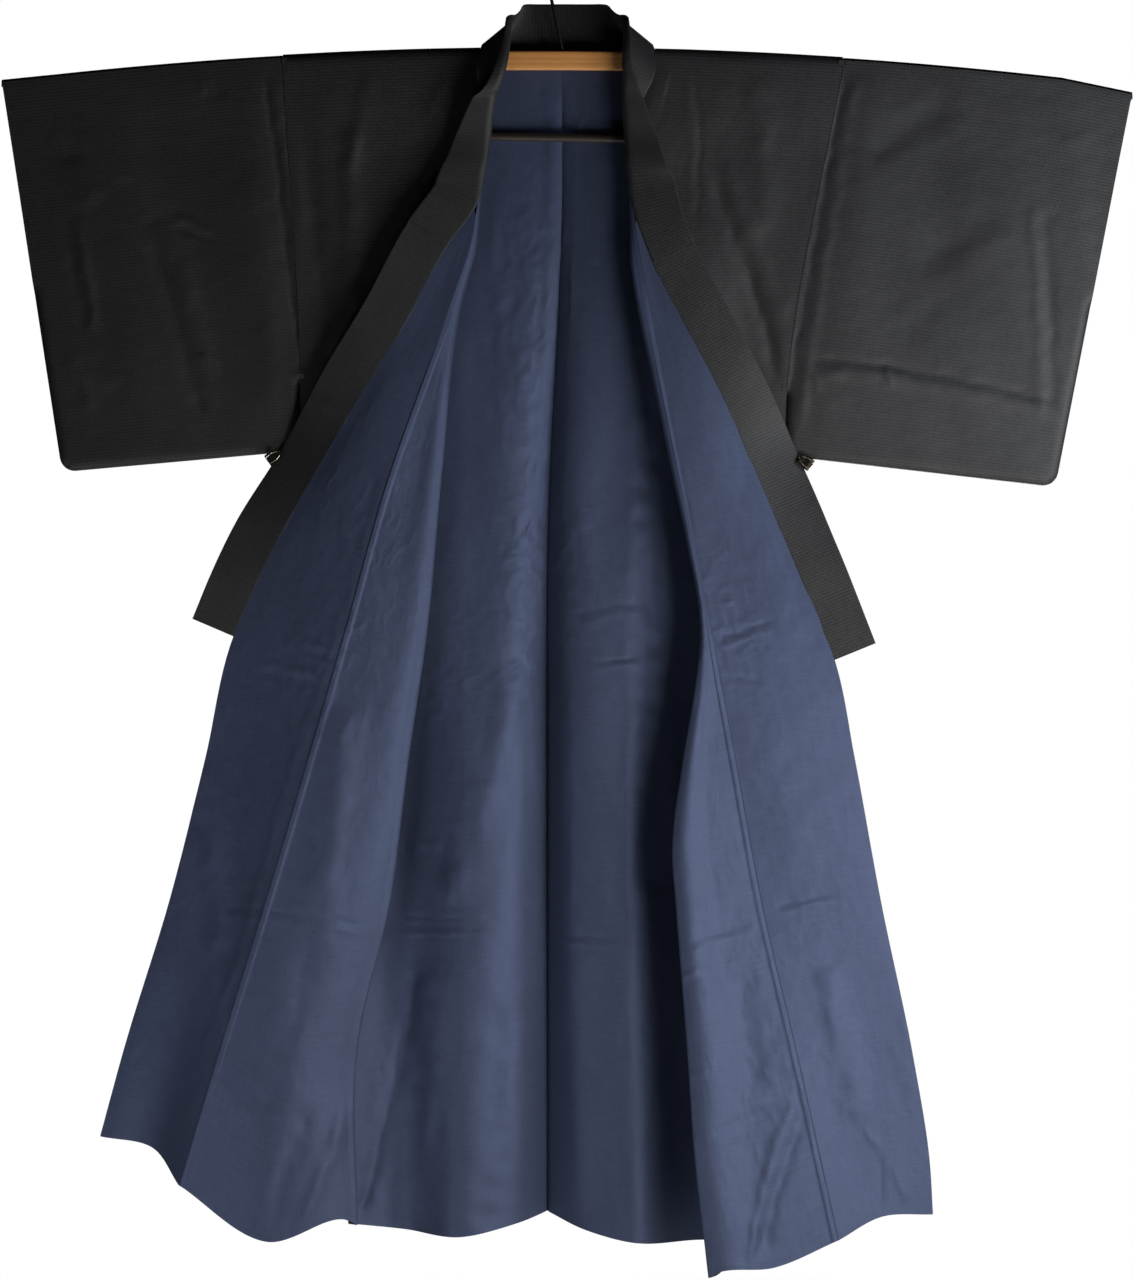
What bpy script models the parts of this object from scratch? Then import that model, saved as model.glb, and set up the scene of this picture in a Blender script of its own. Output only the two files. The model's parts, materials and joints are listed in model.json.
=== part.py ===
"""Men's lined kimono, hung open on an arched wooden hanger.

The cloth is laid out as lines that run down it, from the shoulder to the hem. Each line
is a short table of rows, and each row gives, in millimetres, how far it is below the
shoulder (drop), how far out from the centre line (out) and how far forward of the
hanger's bar (fore). A sheet is the smooth surface through its lines, and a piece of
cloth is a wall on that surface. Every length below is in millimetres.

The wearer's right side lies at -X and the front faces -Y. The origin is the inner top of
the hanger's hook, where it rests on a rail.
"""
import math

import bmesh
import bpy
import numpy as np

MM = 0.001

# Hanger
HOOK_TO_SHOULDER = 112.0       # inner top of the hook down to the top of the shoulders
HOOK_INNER_RADIUS = 18.0
HOOK_WIRE = 4.0
HOOK_STEM = 30.0               # straight part of the hook's wire above the bar
# The wire's swerve from its stem into the round of the hook: (x, below its centre)
HOOK_SWERVE = ((0.0, 44.0), (-3.0, 35.0), (-9.0, 27.0))
HOOK_ARC = (-128.0, -371.0, -13.5)   # first angle, end and step of the round, in degrees
BAR_TAPER = ((0.0, 0.72), (1.5, 0.88), (5.0, 1.0))   # from the bar's end: section's scale
BAR_STEPS = 13
BAR_REGULAR = 90.0             # the regular steps stop this far from the ends
BAR_LENGTH = 1200.0
BAR_HEIGHT = 23.0
BAR_THICKNESS = 12.0
BAR_EDGE = 3.5                 # rounding of the bar's edges
EDGE_BULGE = 0.3               # an edge's middle point, as a share of the rounding
BAR_TOP_DROP = 3.6             # the bar's top in its middle, below the shoulder's top
ARCH = 0.92e-4                 # the bar falls by ARCH * out^2 towards its ends
BAR_TILT = 0.004               # and by BAR_TILT * x, as it hangs a little askew
ROD_LENGTH = 400.0
ROD_DIAMETER = 10.0
ROD_DROP = 107.8
ROD_TILT = 0.02                # rise towards the wearer's right, in mm per mm
LINK_OUT = 180.0
LINK_DIAMETER = 5.0

# Cloth
SEAM_GAP = 0.3                 # two pieces that meet at a seam are this far apart
OUTER_CLOTH = (0.15, 1.35)     # wall of the outer cloth, measured out from the sheet
LINING_CLOTH = (-1.15, -0.15)  # wall of the lining, on the inner side of the sheet
SLEEVE_CLOTH = (-0.9, 0.9)     # a sleeve is outer cloth and lining in one wall
SHOULDER_RADIUS = 9.5          # the sheet's bend over the bar
SLEEVE_HALF = 6.0              # half the depth of a hanging sleeve
COLLAR_HALF = 1.0              # half the thickness of the folded collar band
OVER_COLLAR = (1.4, 2.4)       # wall of the over-collar, out from the band's middle
OFF_THE_SEAM = 2.0             # the over-collar's edges lie this far from the seam
CLOSED_SEAM_HALF = 1.8         # half the distance between front and back at a side seam
ARMHOLE_END = {"right": 398.0, "left": 413.0}
CUFF_OPENING = 250.0
SLEEVE_CORNER = 17.0           # radius of the rounded lower outer corner
EDGE_REACH = 12.0              # a sleeve's closed edge swells to full depth over this
EDGE_ROWS = (5.0, 4.0)         # its last row and first column inside an edge
CUFF_CLOSES = 10.0             # half the way over which the cuff's seam closes
ARMHOLE_CLOSES = 6.0           # and the armhole's
# The round nose of the turned-back front: its radius, how far its two ends reach along
# the cloth as shares of the radius and of the cloth before and behind it, and how far
# they lie before and behind the fold, with the least of it
PANEL_FOLD_RADIUS = {"right": 6.0, "left": 4.5}
NOSE_REACH = 1.35
NOSE_BEFORE = (0.45, 0.5)
NOSE_AFTER = (0.22, 0.4)
NOSE_LEAST = 1.5
NOSE_DROP = 0.1
# Where the flap is narrow, the shares (out, fore, drop) of the way from the fold to the
# seam at which its next two lines lie, and their least distance before the fold
NARROW_AFTER = ((0.16, 0.45, 0.2), 3.0)
NARROW_MIDDLE = ((0.48, 0.80, 0.55), 3.6)
NECK_CURL = 145.0              # how far, in degrees, the front has turned under the neck
CURL_RADIUS = 5.0
CURL_BEGINS = (85.0, 200.0)    # drops between which the front begins to turn
# Where the curl's four lines lie, measured from the seam: while flat, and when curled
CURL_LINES = ((36.0, 22.0), (24.0, 13.0), (16.0, 8.6), (8.0, 4.3))
CURL_REACH = 90.0              # the curl's lines rise towards the middle line over this
FOLD_BEGINS = (180.0, 260.0)   # drops between which the curl becomes a fold
BODY_DEPTH = 0.6               # the front's middle stands this far before its side edge
HANGING_DROPS = (20.0, 140.0)  # the shoulder's depth becomes the hanging one here
SEAM_CLOSES = (60.0, 30.0)     # from above the armhole's end to below it
NARROW_FLAP = (8.0, 60.0)      # widths between which the turned-back part opens out
PANEL_OPENS = (240.0, 360.0)   # drops between which the overlap panel gets its own shape
# How far the front's edge stays clear of the collar's seam: usually, where the front
# bends forward off the shoulder, and on its last row
COLLAR_CLEAR = (2.0, 3.4, 2.8)
COLLAR_CLEAR_ROWS = slice(4, 7)
CLEAR_SHARES = ((-1, 1.0), (-2, 0.7), (-3, 0.3))   # spread over the last columns
OVERLAP_CLEAR = 1.6            # and the overlap panel's edge
OVERLAP_CLEAR_BELOW = 12.0     # down to this far below the collar's end
NECK_RISE = 1.0                # rise of the back's neck edge towards the centre
PANEL_POINT = 185.0            # drop at which the overlap panel's point begins
COLLAR_END = {"right": 706.0, "left": 734.0}
OVER_COLLAR_END = {"right": 238.0, "left": 258.0}

# Lines down the cloth: rows of (drop, out, fore). The flap's rows are (drop, lift,
# sag): how far the middle of the turned-back part lies before and below the straight way
# from its fold to its seam.
LINES = {
    "right": {
        "centre": [(4, 0, -9.5), (182, 0, -16), (590, 17, -36), (900, 18, -50),
                   (1400, 18, -66)],
        "flank": [(4, 42, -9.5), (182, 34, -11), (590, 48, -13), (900, 50, -16),
                  (1412, 54, -24)],
        "neck": [(9.5, 98, -9.5), (182, 102, -9.5), (590, 112, -8), (900, 116, -3),
                 (1427, 122, 0)],
        "outer": [(9.5, 215, -9.5), (182, 215, -9.5), (590, 205, -15), (900, 198, -26),
                  (1420, 190, -38)],
        "side": [(9.5, 335, 0), (398, 314, 0), (510, 313, 0), (700, 304, -4),
                 (1021, 284, -8), (1202, 268, -12), (1412, 256, -16)],
        "near": [(9.5, 256, 0), (300, 250, 3), (510, 255, 5), (852, 256, 2),
                 (1202, 260, -8), (1412, 254, -12)],
        "mid": [(9.5, 176, 0), (182, 178, 5), (300, 186, 8), (510, 200, 9),
                (852, 216, 7), (1202, 254, -4), (1412, 251, -8)],
        "fold": [(150, 87, 14), (230, 100, 22), (299, 119, 24), (510, 144, 25),
                 (700, 162, 23), (852, 184, 20), (1021, 206, 16), (1202, 246, 8),
                 (1412, 246, 4)],
        "flap": [(9.5, 1, 0), (700, 4, 0), (1021, 12, 4), (1202, 19, 14), (1412, 27, 42)],
        "okumi": [(185, 101, 28), (230, 108, 32), (299, 130, 34), (398, 166, 37),
                  (510, 206, 41), (700, 260, 46), (1021, 354, 48), (1202, 410, 42),
                  (1362, 458, 34)],
        "panel": [(185, 103, 28), (398, 208, 35), (590, 292, 35), (708, 328, 36),
                  (1021, 414, 24), (1190, 462, 14), (1320, 490, 4)],
        "collar": [(9.5, 98, 9.5), (62, 97, 12), (107, 94, 15), (150, 94, 21),
                   (185, 101, 28), (239, 138, 32), (335, 190, 33), (426, 246, 30),
                   (517, 299, 25), (592, 341, 26), (650, 369, 28), (706, 393, 28)],
        "edge": [(706, 393, 28), (852, 427, 20), (1021, 470, 8), (1202, 526, -6),
                 (1307, 555, -16)],
    },
    "left": {
        "centre": [(4, 0, -9.5), (182, 0, -16), (590, -17, -36), (900, -18, -50),
                   (1400, -18, -66)],
        "flank": [(4, 38, -9.5), (182, 20, -11), (590, 6, -15), (900, 6, -18),
                  (1421, 30, -26)],
        "neck": [(9.5, 111, -9.5), (182, 100, -9.5), (590, 78, -10), (900, 74, -8),
                 (1434, 84, -6)],
        "outer": [(9.5, 220, -9.5), (182, 204, -10), (590, 172, -26), (900, 162, -38),
                  (1434, 164, -48)],
        "side": [(9.5, 337, 0), (413, 269, 0), (510, 266, -6), (700, 262, -14),
                 (1021, 252, -20), (1202, 247, -22), (1430, 244, -26)],
        "near": [(9.5, 262, 0), (300, 226, 2), (413, 218, 0), (590, 218, -2),
                 (852, 220, 2), (1430, 222, 2)],
        "mid": [(9.5, 186, 0), (182, 160, 6), (300, 156, 14), (413, 164, 20),
                (590, 184, 24), (852, 184, 30), (1455, 198, 36)],
        "fold": [(150, 72, 15), (185, 75, 22), (290, 87, 30), (413, 112, 37),
                 (510, 132, 42), (590, 149, 47), (700, 166, 53), (782, 157, 57),
                 (852, 145, 58), (968, 132, 60), (1022, 136, 61), (1202, 150, 64),
                 (1319, 158, 67), (1470, 175, 70)],
        "flap": [(9.5, 1, 0), (700, 2, 0), (1202, 3, 2), (1470, 4, 10)],
        "okumi": [(185, 84, 29), (317, 106, 34), (413, 124, 38), (590, 158, 46),
                  (708, 180, 52), (852, 207, 50), (1021, 238, 46), (1202, 280, 48),
                  (1427, 330, 48)],
        "panel": [(185, 87, 29), (413, 158, 37), (590, 218, 38), (708, 250, 44),
                  (1021, 312, 40), (1202, 346, 36), (1400, 382, 34)],
        "collar": [(9.5, 111, 9.5), (62, 97, 13), (107, 87, 16), (150, 80, 22),
                   (185, 84, 29), (270, 114, 34), (358, 161, 34), (425, 195, 31),
                   (505, 230, 26), (570, 258, 27), (626, 282, 30), (734, 326, 33)],
        "edge": [(734, 326, 33), (852, 350, 34), (1021, 381, 32), (1214, 421, 28),
                 (1334, 440, 24), (1398, 444, 22)],
    },
}
SIGN = {"right": -1.0, "left": 1.0}

# Collar band. A station is the drop of the band's seam in front, and is below 4 round
# the back of the neck. Each row is: station, width, where across the band turns back
# (roll, a share of its width), by how much (turn, in degrees), and the way in which the
# band leaves its seam (out, fore, up).
COLLAR_ROWS = [
    (-110, 60.0, 1.30, 150.0, 0.00, -0.06, 1.00),
    (-75, 60.0, 1.28, 150.0, 0.00, -0.06, 1.00),
    (-50, 60.0, 1.22, 150.0, -0.18, 0.00, 0.98),
    (-25, 58.0, 1.12, 150.0, -0.50, 0.10, 0.84),
    (-12, 56.0, 1.04, 152.0, -0.62, 0.20, 0.70),
    (-3, 55.0, 0.97, 155.0, -0.70, 0.26, 0.58),
    (9.5, 55.0, 0.88, 160.0, -0.74, 0.20, 0.56),
    (34, 55.0, 0.72, 165.0, -0.85, 0.10, 0.35),
    (62, 55.0, 0.52, 168.0, -1.00, 0.10, 0.00),
    (90, 55.0, 0.35, 170.0, -1.00, 0.10, 0.00),
    (122, 55.0, 0.17, 172.0, -1.00, 0.00, 0.00),
    (150, 55.0, 0.05, 174.0, -1.00, 0.00, 0.00),
    (185, 54.0, -0.08, 174.0, -1.00, 0.00, 0.00),
    (240, 54.0, -0.22, 176.0, -1.00, 0.00, 0.00),
    (400, 54.0, -0.24, 184.0, -1.00, 0.00, 0.00),
    (500, 54.0, -0.24, 199.0, -1.00, 0.00, 0.00),
    (600, 54.0, -0.24, 184.0, -1.00, 0.00, 0.00),
    (740, 52.0, -0.24, 176.0, -1.00, 0.00, 0.00),
]
# How far the neck part of each side's band leans forward as it leaves its seam, and how
# much less it then turns. It begins and ends between these drops.
COLLAR_LEAN = {"right": 0.9, "left": 0.1}
LEAN_TURN = 36.0
LEAN_BEGINS = (5.0, 50.0)
LEAN_ENDS = (80.0, 170.0)
# How much wider each side's band lies where the clip pulls on it, and where that is
COLLAR_PULL = {"right": -2.5, "left": 3.5}
PULL_BEGINS = (380.0, 500.0)
PULL_ENDS = (500.0, 620.0)
ROLL_WIDTH = 0.34              # share of the width over which the band turns
ROLL_STEPS = 97                # steps that add the turn up across the band
# Least and most share of the width at which the columns on the roll begin and end, and
# the least way between them
ROLL_START = (0.12, 0.68)
ROLL_STOP = 0.94
ROLL_LEAST = 0.24
SQUARE_BY = 40.0               # in front the band leaves its seam square to it
# The collar's seam round the back of the neck: rows of (station, out, fore, drop), with
# out as for a neck 98 mm from the centre. Further on, a station is the drop itself.
NECK_RAIL = [
    (-110, 0, -13.5, 8), (-70, 38, -13.5, 8), (-45, 62, -13.5, 8), (-25, 82, -12.8, 7),
    (-12, 92.5, -9.5, 3.5), (-3, 96, -3, -1), (4, 97, 5.5, 1.0),
]
LAST_STATION = 14.0            # no station lies nearer than this to the collar's end
HALVE_ABOVE = 24.0             # stations further apart than this get one between them
BACK_STATIONS = [-110.0, -85.0, -60.0, -40.0, -25.0, -12.0, -3.0, 4.0]

# Rows of the sheets, as shares of the way from the shoulder to the hem
BACK_ROWS = [0.0, 0.06, 0.13, 0.21, 0.28, 0.36, 0.46, 0.57, 0.68, 0.79, 0.90, 1.0]
FRONT_ROWS = [0.0, 0.03, 0.06, 0.09, 0.115, 0.142, 0.175, 0.22, 0.28, 0.35, 0.44,
              0.53, 0.61, 0.69, 0.78, 0.87, 0.94, 1.0]
OKUMI_FIRST_ROW = 5            # the overlap panel starts at this front row
SHOULDER_ANGLES = [30.0, 60.0, 90.0, 120.0, 150.0]
APEX = 2                       # the bend's row on top of the bar, where back meets front
NECK_TO_CENTRE_CUTS = [2.34, 2.67, 3.0, 3.5, 4.0]
SIDE_TO_FOLD_CUTS = [0.0, 0.6, 1.2, 1.8, 2.4, 3.0]
FOLD_CUTS = [3.5, 4.0, 4.6]
FOLD_TO_SEAM_CUTS = [5.3, 6.0, 6.5, 7.0]
OKUMI_CUTS = [0.0, 0.4, 0.8, 1.2, 1.6, 2.0]

# Sleeves: corners of the flat sleeve as (out, drop)
SLEEVES = {
    "right": {"top_in": (335.6, 9), "top_out": (672, 38), "bottom_out": (600, 509),
              "bottom_in": (314.6, 483.6), "armhole_end": (314.6, 398)},
    "left": {"top_in": (337.6, 11.8), "top_out": (684, 53), "bottom_out": (592, 527),
             "bottom_in": (267.6, 489.7), "armhole_end": (269.6, 413)},
}
SLEEVE_ROWS = (0.12, 0.27, 0.42, 0.68, 0.91)   # regular rows, as shares of the length
SLEEVE_COLUMNS = (0.16, 0.36, 0.58, 0.80)      # and columns, as shares of the width
CUFF_ROWS = 0.03               # rows lie this share above and below the cuff's end
ARMHOLE_ROWS = 0.02            # and the armhole's
SLEEVE_WIDTH = 330.0
FOLD_RISE = 0.1                # share of the sleeve's height over which a fold begins
FOLD_DIES = (0.15, 0.05)       # and over which it ends, above and below its own end
FOLD_FROM_SEAM = 0.12          # share of the width in which folds fade to the armhole
# Soft folds of the sleeves: from (across, down) to (across, down) as shares, the
# half-width in mm and the height in mm
SLEEVE_FOLDS = {
    "right": [(0.10, 0.05, 0.08, 0.95, 30, 1.6), (0.42, 0.10, 0.34, 0.90, 45, -1.4),
              (0.70, 0.15, 0.62, 0.85, 40, 1.4)],
    "left": [(0.12, 0.05, 0.16, 0.95, 30, 1.6), (0.30, 0.10, 0.60, 0.60, 40, -1.5),
             (0.55, 0.12, 0.85, 0.80, 45, 1.5)],
}

# Spring clips: where the middle of the jaws lies (out, drop) and which way the jaws run
CLIP_LENGTH = 14.5
CLIP_DEPTH = 17.0
CLIP_SHEET = 0.6
CLIP_WIRE = 1.0
CLIP_FRONT = 14.9
CLIP_BACK = -7.4
CLIP_SPREAD = 0.8              # the spring is this much wider at its back
# A wire handle folded onto its face: (along the jaws, away from them)
CLIP_HANDLE = ((-2.6, 1.0), (-5.2, 4.5), (-4.0, 17.0), (4.0, 17.0), (5.2, 4.5), (2.6, 1.0))
CLIP_HANDLE_GAP = 0.3
CLIP_HANDLE_RISE = 0.08        # the handle leans off its face, in mm per mm
CLIPS = {
    "right": {"middle": (338.6, 486.0), "along": (-0.566, 0.824)},
    "left": {"middle": (285.4, 491.8), "along": (-0.596, 0.803)},
}

# Meshes
WELD = 0.02                    # points of two patches this near are one
OPPOSED = 0.05                 # two faces' normals that add up to less lie back to back
SMOOTH_UNDER = 40.0            # edges flatter than this, in degrees, are shaded smooth


def smooth_step(low, high, value):
    """Cubic step from 0 at low to 1 at high."""
    share = np.clip((np.asarray(value, float) - low) / (high - low), 0.0, 1.0)
    return share * share * (3.0 - 2.0 * share)


def hermite(knots, values, at):
    """Smooth curve through values at knots: knots (..., k), values (..., k, c) and at
    (m,) in knot numbers, so 1.5 is halfway from the second value to the third."""
    gaps = np.diff(knots, axis=-1)[..., None]
    slopes = np.diff(values, axis=-2) / gaps
    inner = (gaps[..., 1:, :] * slopes[..., :-1, :] + gaps[..., :-1, :] * slopes[..., 1:, :])
    inner = inner / (gaps[..., 1:, :] + gaps[..., :-1, :])
    tangents = np.concatenate([slopes[..., :1, :], inner, slopes[..., -1:, :]], axis=-2)
    at = np.asarray(at, float)
    index = np.clip(np.floor(at).astype(int), 0, values.shape[-2] - 2)
    t = (at - index)[:, None]
    gap = gaps[..., index, :]
    return ((2 * t**3 - 3 * t**2 + 1) * values[..., index, :]
            + (t**3 - 2 * t**2 + t) * gap * tangents[..., index, :]
            + (3 * t**2 - 2 * t**3) * values[..., index + 1, :]
            + (t**3 - t**2) * gap * tangents[..., index + 1, :])


def table_curve(rows, at):
    """Columns of a table at the given values of its first column, on a smooth curve."""
    rows = np.asarray(rows, float)
    knots = rows[:, 0]
    at = np.clip(np.asarray(at, float), knots[0], knots[-1])
    index = np.clip(np.searchsorted(knots, at, side="right") - 1, 0, len(knots) - 2)
    number = index + (at - knots[index]) / (knots[index + 1] - knots[index])
    return hermite(knots, rows[:, 1:], number)


def arch(out, side):
    """How far the bar and the shoulder on it have fallen at a distance out."""
    return ARCH * out**2 + SIGN[side] * BAR_TILT * out


def line_points(rows, shares, side):
    """Points (out, fore, drop) of a line at shares of the way from its first row to its
    last one. The shoulder's arch is added to the first rows and fades out."""
    rows = np.asarray(rows, float)
    shares = np.asarray(shares, float)
    drop = rows[0, 0] + shares * (rows[-1, 0] - rows[0, 0])
    columns = table_curve(rows, drop)
    fallen = arch(rows[0, 1], side) * np.clip(1.0 - shares, 0.0, 1.0) ** 2
    return np.stack([columns[:, 0], columns[:, 1], drop + fallen], axis=-1)


def from_shoulder(rows):
    """A line whose own table starts lower down, held straight up to the shoulder."""
    first = rows[0]
    return [(SHOULDER_RADIUS, first[1], first[2])] + list(rows)


def hanging_depth(drop):
    """Half the depth of what hangs from the bar: the bend's at the top, a sleeve's below."""
    return SHOULDER_RADIUS + (SLEEVE_HALF - SHOULDER_RADIUS) * smooth_step(
        *HANGING_DROPS, drop)


def side_depth(drop, side):
    """Half the distance between front and back along the side edge: the bar's width at
    the top, the sleeve's below it and a closed seam under the armhole."""
    hanging = hanging_depth(drop)
    above, below = SEAM_CLOSES
    closed = smooth_step(ARMHOLE_END[side] - above, ARMHOLE_END[side] + below, drop)
    return hanging + (CLOSED_SEAM_HALF - hanging) * closed


def back_sheet(side, rows, cuts):
    """Back of one side through its lines from the side edge to the centre seam."""
    controls = []
    for name in ("side", "outer", "neck", "flank", "centre"):
        points = line_points(LINES[side][name], rows, side)
        if name == "side":
            points[:, 1] -= side_depth(points[:, 2], side)
        controls.append(points)
    return through(np.stack(controls, axis=1), cuts)


def through(controls, cuts):
    """Rows of points on smooth curves across the lines, cut at the given line numbers."""
    chords = np.linalg.norm(np.diff(controls, axis=1), axis=-1)
    knots = np.concatenate([np.zeros((len(controls), 1)), np.cumsum(chords, axis=1)], axis=1)
    return hermite(knots, controls, cuts)


def neck_curl(seam, mid):
    """Four points of each row, ahead of its seam: along a straight run from the middle of
    the front, then round an arc that ends at the seam."""
    inward = (seam - mid)[:, :2]
    inward /= np.linalg.norm(inward, axis=1)[:, None]
    forward = np.stack([inward[:, 1], -inward[:, 0]], axis=1)
    share = smooth_step(*CURL_BEGINS, seam[:, 2])
    angle = math.radians(NECK_CURL) * share
    sine, rise = np.sin(angle)[:, None], (1.0 - np.cos(angle))[:, None]
    start = seam[:, :2] - CURL_RADIUS * (sine * inward + rise * forward)
    found = []
    for flat, curled in CURL_LINES:
        distance = flat + (curled - flat) * share
        left = np.maximum(angle - distance / CURL_RADIUS, 0.0)[:, None]
        straight = np.maximum(distance - angle * CURL_RADIUS, 0.0)[:, None]
        at = start + CURL_RADIUS * (np.sin(left) * inward + (1 - np.cos(left)) * forward)
        at = at - straight * inward
        drop = seam[:, 2:3] + (mid - seam)[:, 2:3] * straight / CURL_REACH
        found.append(np.concatenate([at, drop], axis=1))
    return found


def front_controls(side, rows):
    """Control lines across one front, from the side edge round its turned-back fold to
    the seam of the overlap panel."""
    lines = LINES[side]
    radius = PANEL_FOLD_RADIUS[side]
    points = {name: line_points(lines[name], rows, side) for name in ("side", "near", "mid")}
    fold = line_points(from_shoulder(lines["fold"]), rows, side)
    seam_rows = ([row for row in lines["collar"] if row[0] < PANEL_POINT]
                 + list(lines["okumi"]))
    seam = line_points(seam_rows, rows, side)
    points["side"][:, 1] += side_depth(points["side"][:, 2], side)
    for name in ("near", "mid"):
        points[name][:, 1] += side_depth(points[name][:, 2], side) + BODY_DEPTH
    lift = line_points(lines["flap"], rows, side)[:, :2]
    wide = smooth_step(*NARROW_FLAP, np.linalg.norm(seam - fold, axis=1))[:, None]
    flap = fold + (seam - fold) * 0.5
    flap[:, 1:] += lift
    # The fold is a round nose, smaller where there is little cloth on either side of it
    behind = points["mid"] - fold
    ahead = seam - fold
    reach = NOSE_REACH * radius
    before = fold + np.stack([
        np.minimum(reach, NOSE_BEFORE[0] * behind[:, 0]),
        -np.minimum(radius, NOSE_BEFORE[1] * np.abs(behind[:, 1])),
        behind[:, 2] * NOSE_DROP], axis=-1)
    after = fold + np.stack([
        np.minimum(reach, NOSE_AFTER[0] * ahead[:, 0]),
        np.minimum(radius, NOSE_AFTER[1] * np.abs(ahead[:, 1]) + NOSE_LEAST),
        ahead[:, 2] * NOSE_DROP], axis=-1)
    narrow = []
    for shares, least in (NARROW_AFTER, NARROW_MIDDLE):
        line = fold + ahead * np.array(shares)
        line[:, 1] = np.maximum(line[:, 1], fold[:, 1] + least)
        narrow.append(line)
    after = narrow[0] + (after - narrow[0]) * wide
    flap = narrow[1] + (flap - narrow[1]) * wide
    # Up beside the neck it opens out: the last of the cloth before the seam is an arc
    # that turns less and less, until the front lies flat on the shoulder
    curl = neck_curl(seam, points["mid"])
    turned = smooth_step(*FOLD_BEGINS, fold[:, 2:3])
    before, fold, after, flap = [low + (high - low) * turned
                                 for low, high in zip(curl, (before, fold, after, flap))]
    order = [points["side"], points["near"], points["mid"], before, fold, after,
             flap, seam]
    return np.stack(order, axis=1)


def front_sheet(side, rows):
    controls = front_controls(side, rows)
    cuts = SIDE_TO_FOLD_CUTS + FOLD_CUTS + FOLD_TO_SEAM_CUTS
    return through(controls, cuts)


def collar_edge_rows(side):
    """The overlap panel's free side: along the collar, then down its open edge."""
    lines = LINES[side]
    rows = [row for row in lines["collar"] if row[0] >= PANEL_POINT]
    return rows + list(lines["edge"])[1:]


def okumi_sheet(side, rows):
    """The overlap panel, from its seam with the body to the collar and the open edge."""
    lines = LINES[side]
    seam_rows = ([row for row in lines["collar"] if row[0] < PANEL_POINT]
                 + list(lines["okumi"]))
    seam = line_points(seam_rows, rows, side)
    edge_rows = ([row for row in lines["collar"] if row[0] < PANEL_POINT]
                 + collar_edge_rows(side))
    edge = line_points(edge_rows, rows, side)
    middle = line_points(from_shoulder(lines["panel"]), rows, side)
    # Near its point the panel is flat across
    halfway = (seam + edge) / 2
    middle = halfway + (middle - halfway) * smooth_step(*PANEL_OPENS, middle[:, 2:3])
    return through(np.stack([seam, middle, edge], axis=1), OKUMI_CUTS)


def sheet_normals(grid):
    """Unit normals of a grid of points, from its neighbours along both ways."""
    along = np.gradient(grid, axis=0)
    across = np.gradient(grid, axis=1)
    normal = np.cross(along, across)
    return normal / np.linalg.norm(normal, axis=-1)[..., None]


def share_seam(first, second):
    """Average two rows of normals, so that the pieces at a seam end face to face."""
    both = first + second
    return both / np.linalg.norm(both, axis=-1)[..., None]


def draw_in(grid, column, amount):
    """Move one edge column of a grid towards its neighbour, to leave a seam's gap."""
    neighbour = 1 if column == 0 else -2
    way = grid[:, neighbour] - grid[:, column]
    length = np.linalg.norm(way, axis=-1)[:, None]
    grid[:, column] += way / length * amount


def to_world(grid, side):
    """From (out, fore, drop) to world axes, still in mm."""
    grid = np.asarray(grid, float)
    return np.stack([SIGN[side] * grid[..., 0], -grid[..., 1],
                     -HOOK_TO_SHOULDER - grid[..., 2]], axis=-1)


def to_world_way(normals, side):
    normals = np.asarray(normals, float)
    return np.stack([SIGN[side] * normals[..., 0], -normals[..., 1], -normals[..., 2]],
                    axis=-1)


def on_side(patches, side):
    return [(to_world(grid, side), to_world_way(normals, side)) for grid, normals in patches]


def material(name, colour, roughness, metallic=0.0):
    made = bpy.data.materials.new(name)
    made.use_nodes = True
    shader = made.node_tree.nodes["Principled BSDF"]
    shader.inputs["Base Color"].default_value = (*colour, 1.0)
    shader.inputs["Roughness"].default_value = roughness
    shader.inputs["Metallic"].default_value = metallic
    return made


def add_mesh(name, vertices, faces, look, collection):
    mesh = bpy.data.meshes.new(name)
    mesh.from_pydata([tuple(point * MM) for point in vertices], [], faces)
    work = bmesh.new()
    work.from_mesh(mesh)
    if work.calc_volume(signed=True) < 0:
        bmesh.ops.reverse_faces(work, faces=work.faces)
    work.to_mesh(mesh)
    work.free()
    mesh.shade_smooth()
    mesh.set_sharp_from_angle(angle=math.radians(SMOOTH_UNDER))
    thing = bpy.data.objects.new(name, mesh)
    mesh.materials.append(look)
    collection.objects.link(thing)
    return thing


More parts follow.
